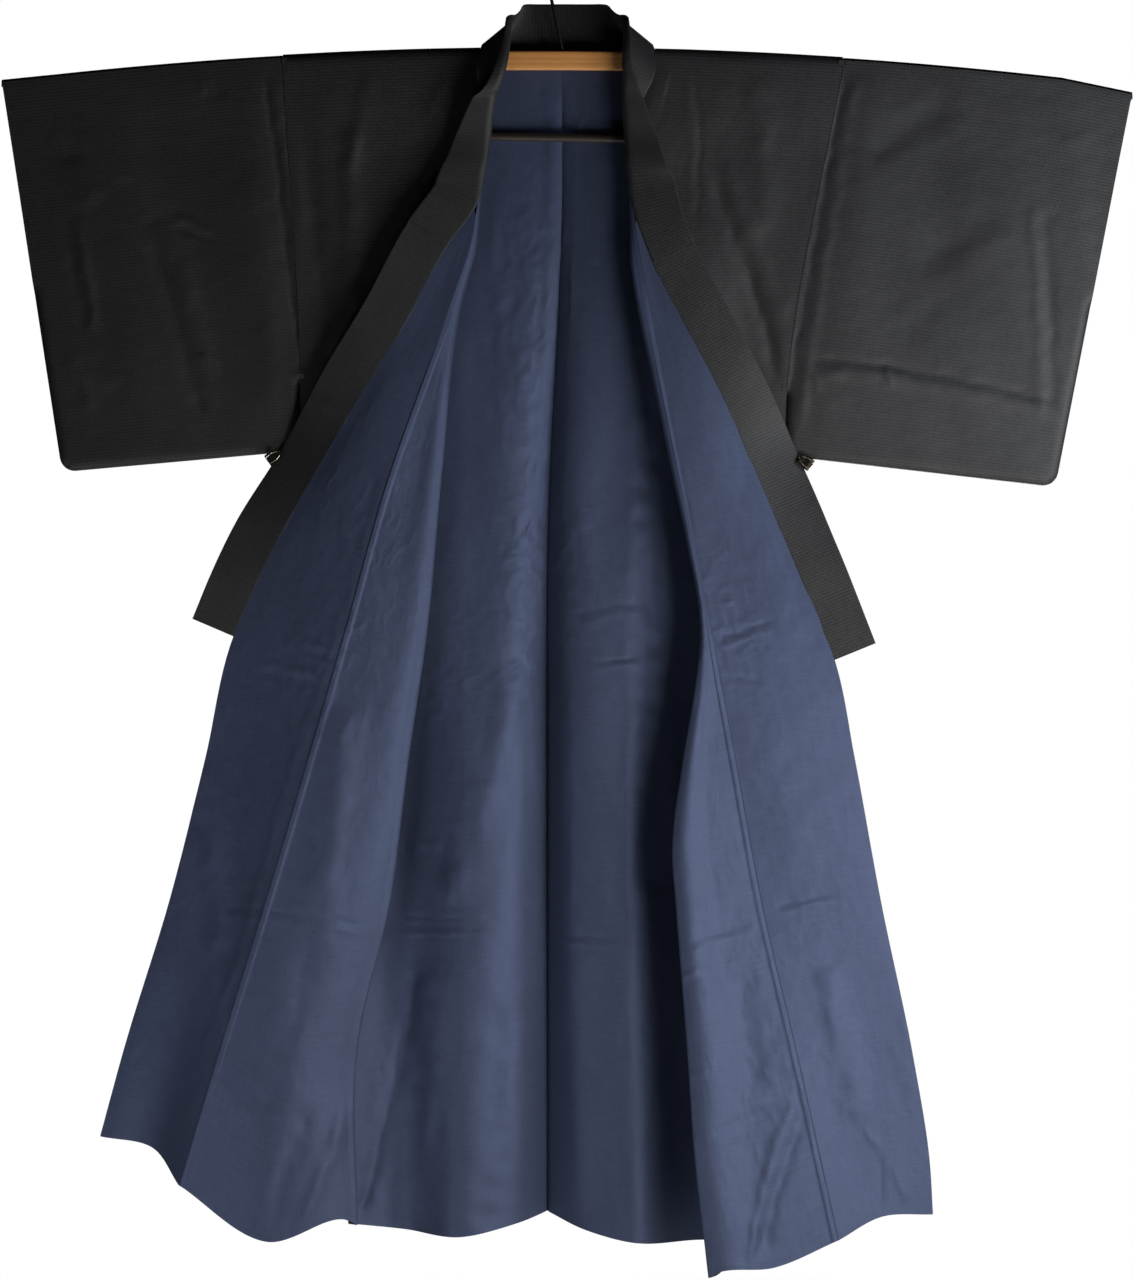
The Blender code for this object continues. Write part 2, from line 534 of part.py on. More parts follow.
def cloth(name, patches, wall, look, collection, turn_from=1000):
    """A wall on one or more sheets that meet edge to edge. Each patch is (grid, normals)
    in world axes; the wall runs between two distances along the normals. Cells from
    column turn_from on are cut along their other diagonal."""
    points, normals, cells = [], [], []
    start = 0
    for grid, normal in patches:
        count, width = grid.shape[:2]
        points.append(grid.reshape(-1, 3))
        normals.append(normal.reshape(-1, 3))
        corner = (np.arange(count - 1)[:, None] * width + np.arange(width - 1)) + start
        quads = np.stack([corner, corner + 1, corner + width + 1, corner + width], axis=-1)
        quads[:, turn_from:] = np.roll(quads[:, turn_from:], 1, axis=-1)
        cells.append(quads.reshape(-1, 4))
        start += count * width
    points = np.concatenate(points)
    normals = np.concatenate(normals)
    cells = np.concatenate(cells)
    # Weld what the patches share, and average the normals there
    keys = np.round(points / WELD).astype(int)
    _, first, weld = np.unique(keys, axis=0, return_index=True, return_inverse=True)
    weld = weld.ravel()
    total = np.zeros((len(first), 3))
    np.add.at(total, weld, normals)
    length = np.linalg.norm(total, axis=1)
    points = points[first]
    cells = weld[cells]
    # Where two faces meet back to back at a closed edge, the way out is in their plane
    away = np.zeros(total.shape)
    for corner in range(4):
        np.add.at(away, cells[:, corner], points[cells[:, corner]] - points[cells].mean(axis=1))
    flat = length < OPPOSED
    total[flat] = away[flat]
    normals = total / np.linalg.norm(total, axis=1)[:, None]
    triangles = []
    for a, b, c, d in cells.tolist():
        for triangle in ((a, b, c), (a, c, d)):
            if len(set(triangle)) == 3:
                triangles.append(triangle)
    count = len(points)
    edges = {}
    for a, b, c in triangles:
        for edge in ((a, b), (b, c), (c, a)):
            edges[edge] = True
    low, high = wall
    vertices = np.concatenate([points + normals * low, points + normals * high])
    faces = [(c, b, a) for a, b, c in triangles]
    faces += [(a + count, b + count, c + count) for a, b, c in triangles]
    for a, b in edges:
        if (b, a) not in edges:
            faces += [(a, b, b + count), (a, b + count, a + count)]
    return add_mesh(name, vertices, faces, look, collection)


def body_patches(side):
    """One side's long panel: back, shoulder and front. The back's inner part, beside the
    neck, is a patch of its own."""
    front = front_sheet(side, FRONT_ROWS)
    okumi = okumi_sheet(side, FRONT_ROWS[OKUMI_FIRST_ROW:])
    # The back's columns start from the front's, across the shoulder
    outs = front[0, :, 0]
    lines = LINES[side]
    side_out, outer_out, neck_out = (lines[name][0][1] for name in ("side", "outer", "neck"))
    cuts = np.where(outs > outer_out, (side_out - outs) / (side_out - outer_out),
                    1.0 + (outer_out - outs) / (outer_out - neck_out))
    cuts = np.clip(cuts, 0.0, 2.0)
    whole = back_sheet(side, BACK_ROWS, np.concatenate([cuts, NECK_TO_CENTRE_CUTS]))
    back = whole[:, :len(cuts)]
    inner = whole[:, len(cuts) - 1:]
    back[0, :, 0] = outs
    back[0, :, 2] = front[0, :, 2]
    # The neck edge of the back rises a little towards the centre
    inner[0, :, 2] -= NECK_RISE * smooth_step(neck_out, 20.0, inner[0, :, 0])
    inner[0, 0] = back[0, -1]
    angles = np.radians(SHOULDER_ANGLES)
    bend = np.repeat(front[None, 0], len(angles), axis=0)
    bend[:, :, 1] = -SHOULDER_RADIUS * np.cos(angles)[:, None]
    bend[:, :, 2] = front[0, :, 2] - SHOULDER_RADIUS * np.sin(angles)[:, None]
    strip = np.concatenate([back[::-1], bend, front])
    return strip, inner[::-1], okumi


def outward(normals, towards):
    """Turn a grid of normals so that its first row agrees with a direction."""
    if np.dot(normals[0].mean(axis=0), towards) < 0:
        return -normals
    return normals


def side_of_kimono(side, looks, collection):
    """Outer cloth and lining of one side's long panel and overlap panel."""
    strip, inner, okumi = body_patches(side)
    backward = np.array([0.0, -1.0, 0.0])
    strip_normals = outward(sheet_normals(strip), backward)
    inner_normals = outward(sheet_normals(inner), backward)
    okumi_normals = sheet_normals(okumi)
    first = len(strip) - len(okumi)
    seam_normals = strip_normals[first:, -1]
    if np.sum(okumi_normals[-1, 0] * seam_normals[-1]) < 0:
        okumi_normals = -okumi_normals
    shared = share_seam(seam_normals, okumi_normals[:, 0])
    strip_normals[first:, -1] = shared
    okumi_normals[:, 0] = shared
    # Both patches of the back share the column below the neck point
    rows = len(inner)
    joint = share_seam(strip_normals[:rows, -1], inner_normals[:, 0])
    strip_normals[:rows, -1] = joint
    inner_normals[:, 0] = joint
    # The centre seam's end faces lie in the middle plane
    inner_normals[:, -1, 0] = 0.0
    inner_normals[:, -1] /= np.linalg.norm(inner_normals[:, -1], axis=-1)[:, None]
    half = SEAM_GAP / 2
    inner[:, -1, 0] += half
    draw_in(strip, 0, half)
    shift = okumi[:, 0] - okumi[:, 1]
    shift /= np.linalg.norm(shift, axis=-1)[:, None]
    strip[first:, -1] += shift * half
    okumi[:, 0] -= shift * half
    # Clear of the collar
    strip_inner = strip[rows:first, -1] - strip[rows:first, -2]
    strip_inner /= np.linalg.norm(strip_inner, axis=-1)[:, None]
    usual, at_bend, at_last = COLLAR_CLEAR
    clear = np.full((first - rows, 1), usual)
    clear[COLLAR_CLEAR_ROWS] = at_bend
    clear[-1] = at_last
    for column, share in CLEAR_SHARES:
        strip[rows:first, column] -= strip_inner * clear * share
    collar_rows = okumi[:, -1, 2] < COLLAR_END[side] + OVERLAP_CLEAR_BELOW
    across = okumi - okumi[:, :1]
    width = np.linalg.norm(across[:, -1], axis=-1)
    kept = 1.0 - np.where(collar_rows, OVERLAP_CLEAR, 0.0) / width
    okumi[:, 1:] = okumi[:, :1] + across[:, 1:] * kept[:, None, None]
    # Back and front meet on top of the bar
    apex = rows + APEX
    back, front = strip[:apex + 1].copy(), strip[apex:].copy()
    back[-1, :, 1] -= half
    front[0, :, 1] += half
    pieces = {
        "back": [(back, strip_normals[:apex + 1]), (inner, inner_normals)],
        "front": [(front, strip_normals[apex:])],
        "okumi": [(okumi, okumi_normals)],
    }
    for name, patches in pieces.items():
        patches = on_side(patches, side)
        cloth("%s_%s" % (name, side), patches, OUTER_CLOTH, looks["outer"], collection)
        cloth("lining_%s_%s" % (name, side), patches, LINING_CLOTH, looks["lining"], collection)


def collar_stations(side, end):
    """Stations of the collar down to a given one. In front they are where the rows of the
    panels meet it, and halfway between."""
    lines = LINES[side]
    first = SHOULDER_RADIUS
    seam = lines["okumi"][-1][0] - first
    edge = lines["edge"][-1][0] - first
    knots = [first] + [first + share * seam for share in FRONT_ROWS[1:OKUMI_FIRST_ROW]]
    knots += [first + share * edge for share in FRONT_ROWS[OKUMI_FIRST_ROW:]]
    knots = [knot for knot in knots if knot < end - LAST_STATION] + [end]
    halfway = [(low + high) / 2 for low, high in zip(knots, knots[1:])
               if high - low > HALVE_ABOVE]
    return np.array(BACK_STATIONS + sorted(knots + halfway))


def collar_rail(side, stations):
    """The collar's seam: round the back of the neck, then down the front."""
    lines = LINES[side]
    neck = lines["collar"][0][1]
    rows = [(station, out * neck / 98.0, fore, drop) for station, out, fore, drop in NECK_RAIL]
    rows += [(drop, out, fore, drop + arch(neck, side) * (1 - drop / 1400.0) ** 2)
             for drop, out, fore in lines["collar"]]
    last = rows[-1][0]
    stations = np.minimum(stations, last)
    points = table_curve(rows, stations)
    ahead = table_curve(rows, np.minimum(stations + 1.0, last))
    behind = table_curve(rows, np.maximum(stations - 1.0, rows[0][0]))
    ways = ahead - behind
    return points, ways / np.linalg.norm(ways, axis=1)[:, None]


def collar_sheet(side, stations):
    """The band's middle sheet and its normals. Across, the band leaves its seam, turns
    back on itself about its roll and runs on to its free edge."""
    points, ways = collar_rail(side, stations)
    shape = table_curve(COLLAR_ROWS, np.minimum(stations, COLLAR_ROWS[-1][0]))
    lean = COLLAR_LEAN[side] * smooth_step(*LEAN_BEGINS, stations)
    lean = lean * (1.0 - smooth_step(*LEAN_ENDS, stations))
    shape[:, 2] -= LEAN_TURN * lean
    shape[:, 4] += lean
    pulled = smooth_step(*PULL_BEGINS, stations) * (1.0 - smooth_step(*PULL_ENDS, stations))
    shape[:, 0] += COLLAR_PULL[side] * pulled
    fine = np.linspace(0.0, 1.0, ROLL_STEPS)
    grid, normals, ends = [], [], []
    for station, point, way, (width, roll, turn, *hint) in zip(stations, points, ways, shape):
        # In (out, fore, up), where up is minus the drop
        way = way * np.array([1.0, 1.0, -1.0])
        square = smooth_step(0.0, SQUARE_BY, station)
        leave = np.array(hint) - np.dot(hint, way) * way * square
        leave /= np.linalg.norm(leave)
        face = np.cross(way, leave)
        face /= np.linalg.norm(face)
        angle = math.radians(turn) * smooth_step(-0.5, 0.5, (fine - roll) / ROLL_WIDTH)
        step = width / (len(fine) - 1)
        middle = (angle[1:] + angle[:-1]) / 2
        run = np.concatenate([[0.0], np.cumsum(np.cos(middle)) * step])
        lift = np.concatenate([[0.0], np.cumsum(np.sin(middle)) * step])
        start = min(max(roll - ROLL_WIDTH / 2, ROLL_START[0]), ROLL_START[1])
        stop = min(max(roll + ROLL_WIDTH / 2, start + ROLL_LEAST), ROLL_STOP)
        at = [0.0, OFF_THE_SEAM / width, start, start + (stop - start) / 3,
              stop - (stop - start) / 3, stop, 1.0]
        across = np.interp(at, fine, run)
        raised = np.interp(at, fine, lift)
        turned = np.interp(at, fine, angle)
        row = across[:, None] * leave + raised[:, None] * face
        normal = (-np.sin(turned))[:, None] * leave + np.cos(turned)[:, None] * face
        onward = np.cos(turned[-1]) * leave + np.sin(turned[-1]) * face
        row[:, 2] *= -1
        normal[:, 2] *= -1
        onward[2] *= -1
        grid.append(point + row)
        normals.append(normal)
        ends.append(onward)
    return np.array(grid), np.array(normals), np.array(ends)


def both_halves(right, left):
    """One run of rows from the left half's end, round the neck, to the right half's."""
    return np.concatenate([left[::-1], right[1:]])


def collar(looks, collection):
    halves = []
    for side in ("right", "left"):
        grid, normals, _ = collar_sheet(side, collar_stations(side, COLLAR_END[side]))
        halves.append((to_world(grid, side), to_world_way(normals, side)))
    grid = both_halves(halves[0][0], halves[1][0])
    normals = both_halves(halves[0][1], halves[1][1])
    cloth("collar", [(grid, normals)], (-COLLAR_HALF, COLLAR_HALF), looks["outer"], collection)


def over_collar(looks, collection):
    """The over-collar wraps the band's neck part: up one face, round the free edge and
    down the other face."""
    halves = []
    distance = sum(OVER_COLLAR) / 2
    for side in ("right", "left"):
        stations = collar_stations(side, COLLAR_END[side])
        count = int(np.argmin(np.abs(stations - OVER_COLLAR_END[side]))) + 1
        grid, normals, ends = collar_sheet(side, stations[:count])
        # It starts a little off the seam
        grid, normals = grid[:, 1:], normals[:, 1:]
        edge = grid[:, -1:]
        top = normals[:, -1:]
        ends = ends[:, None]
        round_ways = [(top + ends), (ends - top)]
        round_ways = [way / np.linalg.norm(way, axis=-1)[..., None] for way in round_ways]
        ways = np.concatenate([normals, round_ways[0], round_ways[1], -normals[:, ::-1]],
                              axis=1)
        base = np.concatenate([grid, edge, edge, grid[:, ::-1]], axis=1)
        sheet = base + ways * distance
        halves.append((to_world(sheet, side), to_world_way(ways, side)))
    grid = both_halves(halves[0][0], halves[1][0])
    ways = both_halves(halves[0][1], halves[1][1])
    half = (OVER_COLLAR[1] - OVER_COLLAR[0]) / 2
    cloth("over_collar", [(grid, ways)], (-half, half), looks["outer"], collection,
          turn_from=grid.shape[1] // 2)


def edge_rise(distance):
    """0 at a closed edge, rising round to 1 over the edge's own width."""
    share = np.clip(1.0 - np.asarray(distance, float) / EDGE_REACH, 0.0, 1.0)
    return np.sqrt(1.0 - share * share)


def sleeve_grid(side):
    """A sleeve's front in (out, fore, drop), from its top row down: fore is half the
    sleeve's depth. The back is its mirror image."""
    shape = SLEEVES[side]
    top = np.array([shape["top_in"], shape["top_out"]], float)
    bottom = np.array([shape["bottom_in"], shape["bottom_out"]], float)
    outer_length = bottom[1, 1] - top[1, 1]
    inner_length = bottom[0, 1] - top[0, 1]
    end = shape["armhole_end"]
    cuff = CUFF_OPENING / outer_length
    armhole = (end[1] - top[0, 1]) / inner_length
    corner = SLEEVE_CORNER / outer_length
    rows = sorted([0.0, *SLEEVE_ROWS, cuff - CUFF_ROWS, cuff + CUFF_ROWS,
                   armhole - ARMHOLE_ROWS, armhole + ARMHOLE_ROWS, 1 - corner,
                   1 - EDGE_ROWS[0] / outer_length, 1.0])
    # The inner edge follows the body's own side line down to the end of the armhole
    front = line_points(LINES[side]["side"], FRONT_ROWS, side)
    back = line_points(LINES[side]["side"], BACK_ROWS, side)
    grid, depth = [], []
    for share in rows:
        inner_drop = top[0, 1] + share * inner_length
        if share < armhole:
            inner_out = 2 * SEAM_GAP + max(np.interp(inner_drop, line[:, 2], line[:, 0])
                                           for line in (front, back))
        else:
            low = (share - armhole) / (1.0 - armhole)
            inner_out = end[0] + 2 * SEAM_GAP + low * (bottom[0, 0] - end[0])
        inner = np.array([inner_out, inner_drop])
        outer = top[1] + share * (bottom[1] - top[1])
        width = np.linalg.norm(outer - inner)
        across = np.array([0.0, EDGE_ROWS[1] / width, EDGE_REACH / width, *SLEEVE_COLUMNS,
                           1 - SLEEVE_CORNER / width, 1 - EDGE_ROWS[0] / width, 1.0])
        points = inner + across[:, None] * (outer - inner)
        # The top edge lies along the arched bar as far as it reaches
        straight = top[0, 1] + across * (top[1, 1] - top[0, 1])
        at = np.minimum(top[0, 0] + across * (top[1, 0] - top[0, 0]), BAR_LENGTH / 2)
        beyond = np.clip((across * (top[1, 0] - top[0, 0]) + top[0, 0] - at) / (
            top[1, 0] - BAR_LENGTH / 2), 0.0, 1.0)
        along_bar = arch(at, side)
        along_bar += (top[1, 1] - along_bar) * beyond
        points[:, 1] += (along_bar - straight) * (1.0 - share) ** 2
        hanging = hanging_depth(points[:, 1])
        # Where the seams are closed the depth falls to nothing
        from_outer = (1.0 - across) * width
        closed_outer = smooth_step(CUFF_OPENING - CUFF_CLOSES, CUFF_OPENING + CUFF_CLOSES,
                                   share * outer_length)
        from_inner = across * width
        closed_inner = smooth_step(end[1] - ARMHOLE_CLOSES, end[1] + ARMHOLE_CLOSES,
                                   inner_drop)
        from_bottom = (1.0 - share) * outer_length
        rise = 1.0 - closed_outer * (1.0 - edge_rise(from_outer))
        rise = rise * (1.0 - closed_inner * (1.0 - edge_rise(from_inner)))
        rise = rise * edge_rise(from_bottom)
        grid.append(points)
        depth.append(hanging * rise)
    grid = np.array(grid)
    depth = np.array(depth)
    # Round the lower outer corner: the square by the corner becomes a quarter of a disc
    base = grid.copy()
    for row in range(len(rows)):
        for column in range(grid.shape[1]):
            near_edge = 1.0 - np.linalg.norm(base[row, -1] - base[row, column]) / SLEEVE_CORNER
            near_end = 1.0 - (1.0 - rows[row]) * outer_length / SLEEVE_CORNER
            if near_edge > 0 and near_end > 0:
                pull = max(near_edge, near_end) / math.hypot(near_edge, near_end)
                sideways = base[row, -1] - base[row, 0]
                sideways /= np.linalg.norm(sideways)
                downward = base[-1, column] - base[0, column]
                downward /= np.linalg.norm(downward)
                grid[row, column] -= sideways * near_edge * (1 - pull) * SLEEVE_CORNER
                grid[row, column] -= downward * near_end * (1 - pull) * SLEEVE_CORNER
    return grid, depth, np.array(rows)


def sleeve(side, looks, collection):
    """Front and back of a sleeve, one over the other, joined over the top, below and
    along the closed parts of their edges."""
    flat, depth, rows = sleeve_grid(side)
    width = flat.shape[1]
    share = np.linspace(0.0, 1.0, width)
    wave = np.zeros(depth.shape)
    for start, top, stop, low, half, height in SLEEVE_FOLDS[side]:
        along = smooth_step(top - FOLD_RISE, top + FOLD_RISE, rows) * (1 - smooth_step(
            low - FOLD_DIES[0], low + FOLD_DIES[1], rows))
        middle = start + (stop - start) * rows
        away = (share[None, :] - middle[:, None]) * SLEEVE_WIDTH / half
        wave += height * along[:, None] * np.exp(-away * away)
    wave *= smooth_step(0.0, FOLD_FROM_SEAM, share)[None, :]
    halves = {}
    for way in (1.0, -1.0):
        fore = wave + way * depth
        halves[way] = np.stack([flat[..., 0], fore, flat[..., 1]], axis=-1)
    # The top rows drop to where the bend over the bar begins
    for half in halves.values():
        half[0, :, 2] += SHOULDER_RADIUS
    angles = np.radians(SHOULDER_ANGLES)
    bend = np.repeat(halves[1.0][None, 0], len(angles), axis=0)
    bend[:, :, 1] = -SHOULDER_RADIUS * np.cos(angles)[:, None]
    bend[:, :, 2] = halves[1.0][0, :, 2] - SHOULDER_RADIUS * np.sin(angles)[:, None]
    grid = np.concatenate([halves[-1.0][::-1], bend, halves[1.0]])
    normals = outward(sheet_normals(grid), np.array([0.0, -1.0, 0.0]))
    cloth("sleeve_" + side, on_side([(grid, normals)], side), SLEEVE_CLOTH,
          looks["outer"], collection)


def rounded_section(width, height, edge):
    """Corners of a rectangle with cut edges, in the plane of fore and up."""
    w, h, e, m = width / 2, height / 2, edge, EDGE_BULGE * edge
    return [(-w, -h + e), (-w + m, -h + m), (-w + e, -h), (w - e, -h), (w - m, -h + m),
            (w, -h + e), (w, h - e), (w - m, h - m), (w - e, h), (-w + e, h),
            (-w + m, h - m), (-w, h - e)]


def hanger_bar(looks, collection):
    """The arched bar: one section, carried along the arch and narrowed at both ends."""
    section = rounded_section(BAR_THICKNESS, BAR_HEIGHT, BAR_EDGE)
    half = BAR_LENGTH / 2
    ends = [-half + distance for distance, _ in BAR_TAPER]
    scales = [scale for _, scale in BAR_TAPER]
    regular = list(np.linspace(-half + BAR_REGULAR, half - BAR_REGULAR, BAR_STEPS))
    outs = ends + regular + [-out for out in reversed(ends)]
    shrink = scales + [1.0] * BAR_STEPS + scales[::-1]
    vertices, faces = [], []
    for out, scale in zip(outs, shrink):
        middle = BAR_TOP_DROP + BAR_HEIGHT / 2 + ARCH * out * out + BAR_TILT * out
        for fore, up in section:
            vertices.append(np.array([out, -fore * scale,
                                      -HOOK_TO_SHOULDER - middle + up * scale]))
    count = len(section)
    for ring in range(len(outs) - 1):
        for corner in range(count):
            a = ring * count + corner
            b = ring * count + (corner + 1) % count
            faces.append((a, b, b + count, a + count))
    faces.append(tuple(range(count))[::-1])
    faces.append(tuple(range((len(outs) - 1) * count, len(outs) * count)))
    add_mesh("hanger_bar", vertices, faces, looks["wood"], collection)


def cylinder(name, start, end, diameter, look, collection, sides=20):
    """A round rod from one point to another, in mm and world axes."""
    start, end = np.array(start, float), np.array(end, float)
    way = end - start
    length = float(np.linalg.norm(way))
    bpy.ops.mesh.primitive_cylinder_add(vertices=sides, radius=diameter / 2 * MM,
                                        depth=length * MM)
    rod = bpy.context.object
    rod.name = name
    rod.data.name = name
    rod.location = tuple((start + end) / 2 * MM)
    yaw = math.atan2(way[1], way[0])
    tilt = math.acos(way[2] / length)
    rod.rotation_euler = (0.0, tilt, yaw)
    rod.data.materials.append(look)
    rod.data.shade_smooth()
    rod.data.set_sharp_from_angle(angle=math.radians(SMOOTH_UNDER))
    for owner in list(rod.users_collection):
        owner.objects.unlink(rod)
    collection.objects.link(rod)
    return rod


def wire(name, points, diameter, look, collection, cyclic=False):
    """A bent wire along points in mm and world axes."""
    curve = bpy.data.curves.new(name, "CURVE")
    curve.dimensions = "3D"
    curve.bevel_depth = diameter / 2 * MM
    curve.bevel_resolution = 1
    curve.use_fill_caps = True
    spline = curve.splines.new("POLY")
    spline.points.add(len(points) - 1)
    for slot, point in zip(spline.points, points):
        slot.co = (*[value * MM for value in point], 1.0)
    spline.use_cyclic_u = cyclic
    thing = bpy.data.objects.new(name, curve)
    curve.materials.append(look)
    collection.objects.link(thing)
    return thing


def hanger(looks, collection):
    hanger_bar(looks, collection)
    # Rod and links
    middle = -HOOK_TO_SHOULDER - ROD_DROP
    half = ROD_LENGTH / 2
    cylinder("hanger_rod", (-half, 0, middle + half * ROD_TILT),
             (half, 0, middle - half * ROD_TILT), ROD_DIAMETER, looks["dark_wood"],
             collection)
    for side in ("right", "left"):
        out = SIGN[side] * LINK_OUT
        bar_foot = BAR_TOP_DROP + BAR_HEIGHT + arch(LINK_OUT, side)
        top = -HOOK_TO_SHOULDER - bar_foot - SEAM_GAP
        foot = middle - out * ROD_TILT + ROD_DIAMETER / 2 + SEAM_GAP
        cylinder("hanger_link_" + side, (out, 0, top), (out, 0, foot), LINK_DIAMETER,
                 looks["metal"], collection, sides=12)
    # Hook: a stem with a round hook on it, open to one side
    radius = HOOK_INNER_RADIUS + HOOK_WIRE / 2
    centre = -HOOK_INNER_RADIUS
    stem_foot = -HOOK_TO_SHOULDER - BAR_TOP_DROP + SEAM_GAP
    bend = [(0.0, 0.0, stem_foot), (0.0, 0.0, stem_foot + HOOK_STEM)]
    bend += [(x, 0.0, centre - below) for x, below in HOOK_SWERVE]
    for angle in np.radians(np.arange(*HOOK_ARC)):
        bend.append((radius * math.cos(angle), 0.0, centre + radius * math.sin(angle)))
    wire("hanger_hook", bend, HOOK_WIRE, looks["dark_metal"], collection)


def clip(side, looks, collection):
    """A small spring clip over the sleeve's corner and the collar's edge. Its own axes
    are along its jaws, away from them (deep) and forward."""
    middle = np.array(CLIPS[side]["middle"], float)
    along = np.array(CLIPS[side]["along"], float)
    along /= np.linalg.norm(along)
    deep = np.array([along[1], -along[0]])
    if deep[1] < 0:
        deep = -deep
    front, back, half = CLIP_FRONT, CLIP_BACK, CLIP_LENGTH / 2

    def place(run, depth, fore):
        flat = middle + along * run + deep * depth
        return to_world(np.array([flat[0], fore, flat[1]]), side)

    thick = CLIP_SHEET
    wide_front, wide_back = front + CLIP_SPREAD, back - CLIP_SPREAD
    outline = [(0, front), (CLIP_DEPTH, wide_front), (CLIP_DEPTH, wide_back), (0, back),
               (0, back + thick), (CLIP_DEPTH - thick, wide_back + thick),
               (CLIP_DEPTH - thick, wide_front - thick), (0, front - thick)]
    count = len(outline)
    vertices = [place(run, depth, fore) for run in (-half, half) for depth, fore in outline]
    faces = [(a, (a + 1) % count, (a + 1) % count + count, a + count) for a in range(count)]
    for a, b, c, d in ((0, 1, 6, 7), (1, 2, 5, 6), (2, 3, 4, 5)):
        faces.append((d, c, b, a))
        faces.append((a + count, b + count, c + count, d + count))
    add_mesh("clip_" + side, vertices, faces, looks["dark_metal"], collection)
    for name, face, way in (("front", front, 1.0), ("back", back, -1.0)):
        off = CLIP_WIRE / 2 + CLIP_HANDLE_GAP
        points = [place(run, depth, face + way * (off + CLIP_HANDLE_RISE * depth))
                  for run, depth in CLIP_HANDLE]
        wire("clip_wire_%s_%s" % (name, side), points, CLIP_WIRE, looks["metal"], collection)


def clear_scene():
    for thing in list(bpy.data.objects):
        bpy.data.objects.remove(thing, do_unlink=True)


def main():
    clear_scene()
    collection = bpy.data.collections.new("kimono_on_hanger")
    bpy.context.scene.collection.children.link(collection)
    looks = {
        "outer": material("outer_cloth", (0.012, 0.012, 0.014), 0.8),
        "lining": material("lining_cloth", (0.03, 0.04, 0.085), 0.6),
        "wood": material("light_wood", (0.60, 0.30, 0.11), 0.45),
        "dark_wood": material("dark_wood", (0.030, 0.022, 0.018), 0.4),
        "dark_metal": material("dark_metal", (0.02, 0.02, 0.02), 0.35, 1.0),
        "metal": material("steel", (0.55, 0.55, 0.56), 0.3, 1.0),
    }
    for side in ("right", "left"):
        side_of_kimono(side, looks, collection)
        sleeve(side, looks, collection)
    collar(looks, collection)
    over_collar(looks, collection)
    hanger(looks, collection)
    for side in ("right", "left"):
        clip(side, looks, collection)


main()
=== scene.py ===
# Men's lined kimono, hung open on an arched wooden hanger.
# Lengths in the tables are millimetres: drop is down from the shoulder, out is away from
# the centre line and fore is towards the front. World units are metres.
import json
import math

import bmesh
import bpy
import numpy as np
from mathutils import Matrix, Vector

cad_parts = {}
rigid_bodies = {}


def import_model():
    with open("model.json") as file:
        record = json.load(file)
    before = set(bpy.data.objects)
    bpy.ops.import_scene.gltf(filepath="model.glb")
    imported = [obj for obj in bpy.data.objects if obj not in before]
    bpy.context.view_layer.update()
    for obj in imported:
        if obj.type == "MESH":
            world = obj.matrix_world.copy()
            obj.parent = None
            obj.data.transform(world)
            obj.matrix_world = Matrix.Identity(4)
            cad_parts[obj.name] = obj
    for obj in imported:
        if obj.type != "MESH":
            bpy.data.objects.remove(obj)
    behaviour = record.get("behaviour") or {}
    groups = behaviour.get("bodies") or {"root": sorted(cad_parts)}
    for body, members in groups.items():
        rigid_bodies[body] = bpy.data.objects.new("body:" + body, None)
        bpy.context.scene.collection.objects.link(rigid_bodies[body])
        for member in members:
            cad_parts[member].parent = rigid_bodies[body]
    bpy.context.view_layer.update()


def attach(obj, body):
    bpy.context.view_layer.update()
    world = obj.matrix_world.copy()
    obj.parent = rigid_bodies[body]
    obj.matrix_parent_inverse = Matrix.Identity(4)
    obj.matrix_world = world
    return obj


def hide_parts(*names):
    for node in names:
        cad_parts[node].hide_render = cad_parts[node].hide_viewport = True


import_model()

mm = 0.001
signOf = {"right": -1.0, "left": 1.0}
sideName = {"right": "Right", "left": "Left"}

# what holds the garment up
hangerSizes = {
    "shoulderDrop": 112.0,     # inner top of the hook down to the shoulders
    "arch": 0.92e-4,           # the bar falls by arch * out * out
    "tilt": 0.004,             # it hangs a little askew
    "barLength": 1200.0,
    "barHeight": 23.0,
    "barThick": 12.0,
    "barCorner": 2.6,
    "barTop": 3.6,
    "endStations": [0.0, 0.4, 1.4, 3.0, 5.5],    # from either end, as it gets thinner
    "endThin": 0.72,
    "rodLength": 400.0,
    "rodThick": 10.0,
    "rodDrop": 107.8,
    "rodTilt": 0.02,
    "linkOut": 180.0,
    "linkThick": 5.0,
    "linkWaist": 0.16,         # share of its thickness
    "hookRadius": 18.0,
    "hookWire": 4.0,
    "hookSwerve": [(0.0, 44), (-3.0, 35), (-9.0, 27)],    # out, and below its centre
    "hookTurn": (-128.0, -371.0, -13.5),    # degrees: from, to and step
}

# how the cloth bends and how thick it is
clothSizes = {
    "length": 1400.0,
    "shoulderRadius": 9.5,
    "sleeveHalf": 6.0,         # half the depth of a hanging sleeve
    "closedHalf": 1.8,         # and of the body at its closed side seam
    "armholeEnd": {"right": 398.0, "left": 413.0},
    "cuffOpening": 250.0,
    "sleeveCorner": 17.0,      # radius
    "foldRadius": {"right": 6.0, "left": 4.5},
    "neckCurl": 145.0,         # degrees that the front has turned under the neck
    "curlRadius": 5.0,
    "panelPoint": 185.0,       # drop where the overlap panel begins
    "collarEnd": {"right": 706.0, "left": 734.0},
    "overCollarEnd": {"right": 238.0, "left": 258.0},
    "collarHalf": 1.0,
    "outer": 1.1,              # outer cloth's face, out from the sheet
    "lining": -0.9,            # lining's face, in from it
    "turning": 0.8,            # depth of an edge's turning
    "seamGap": 0.3,
}

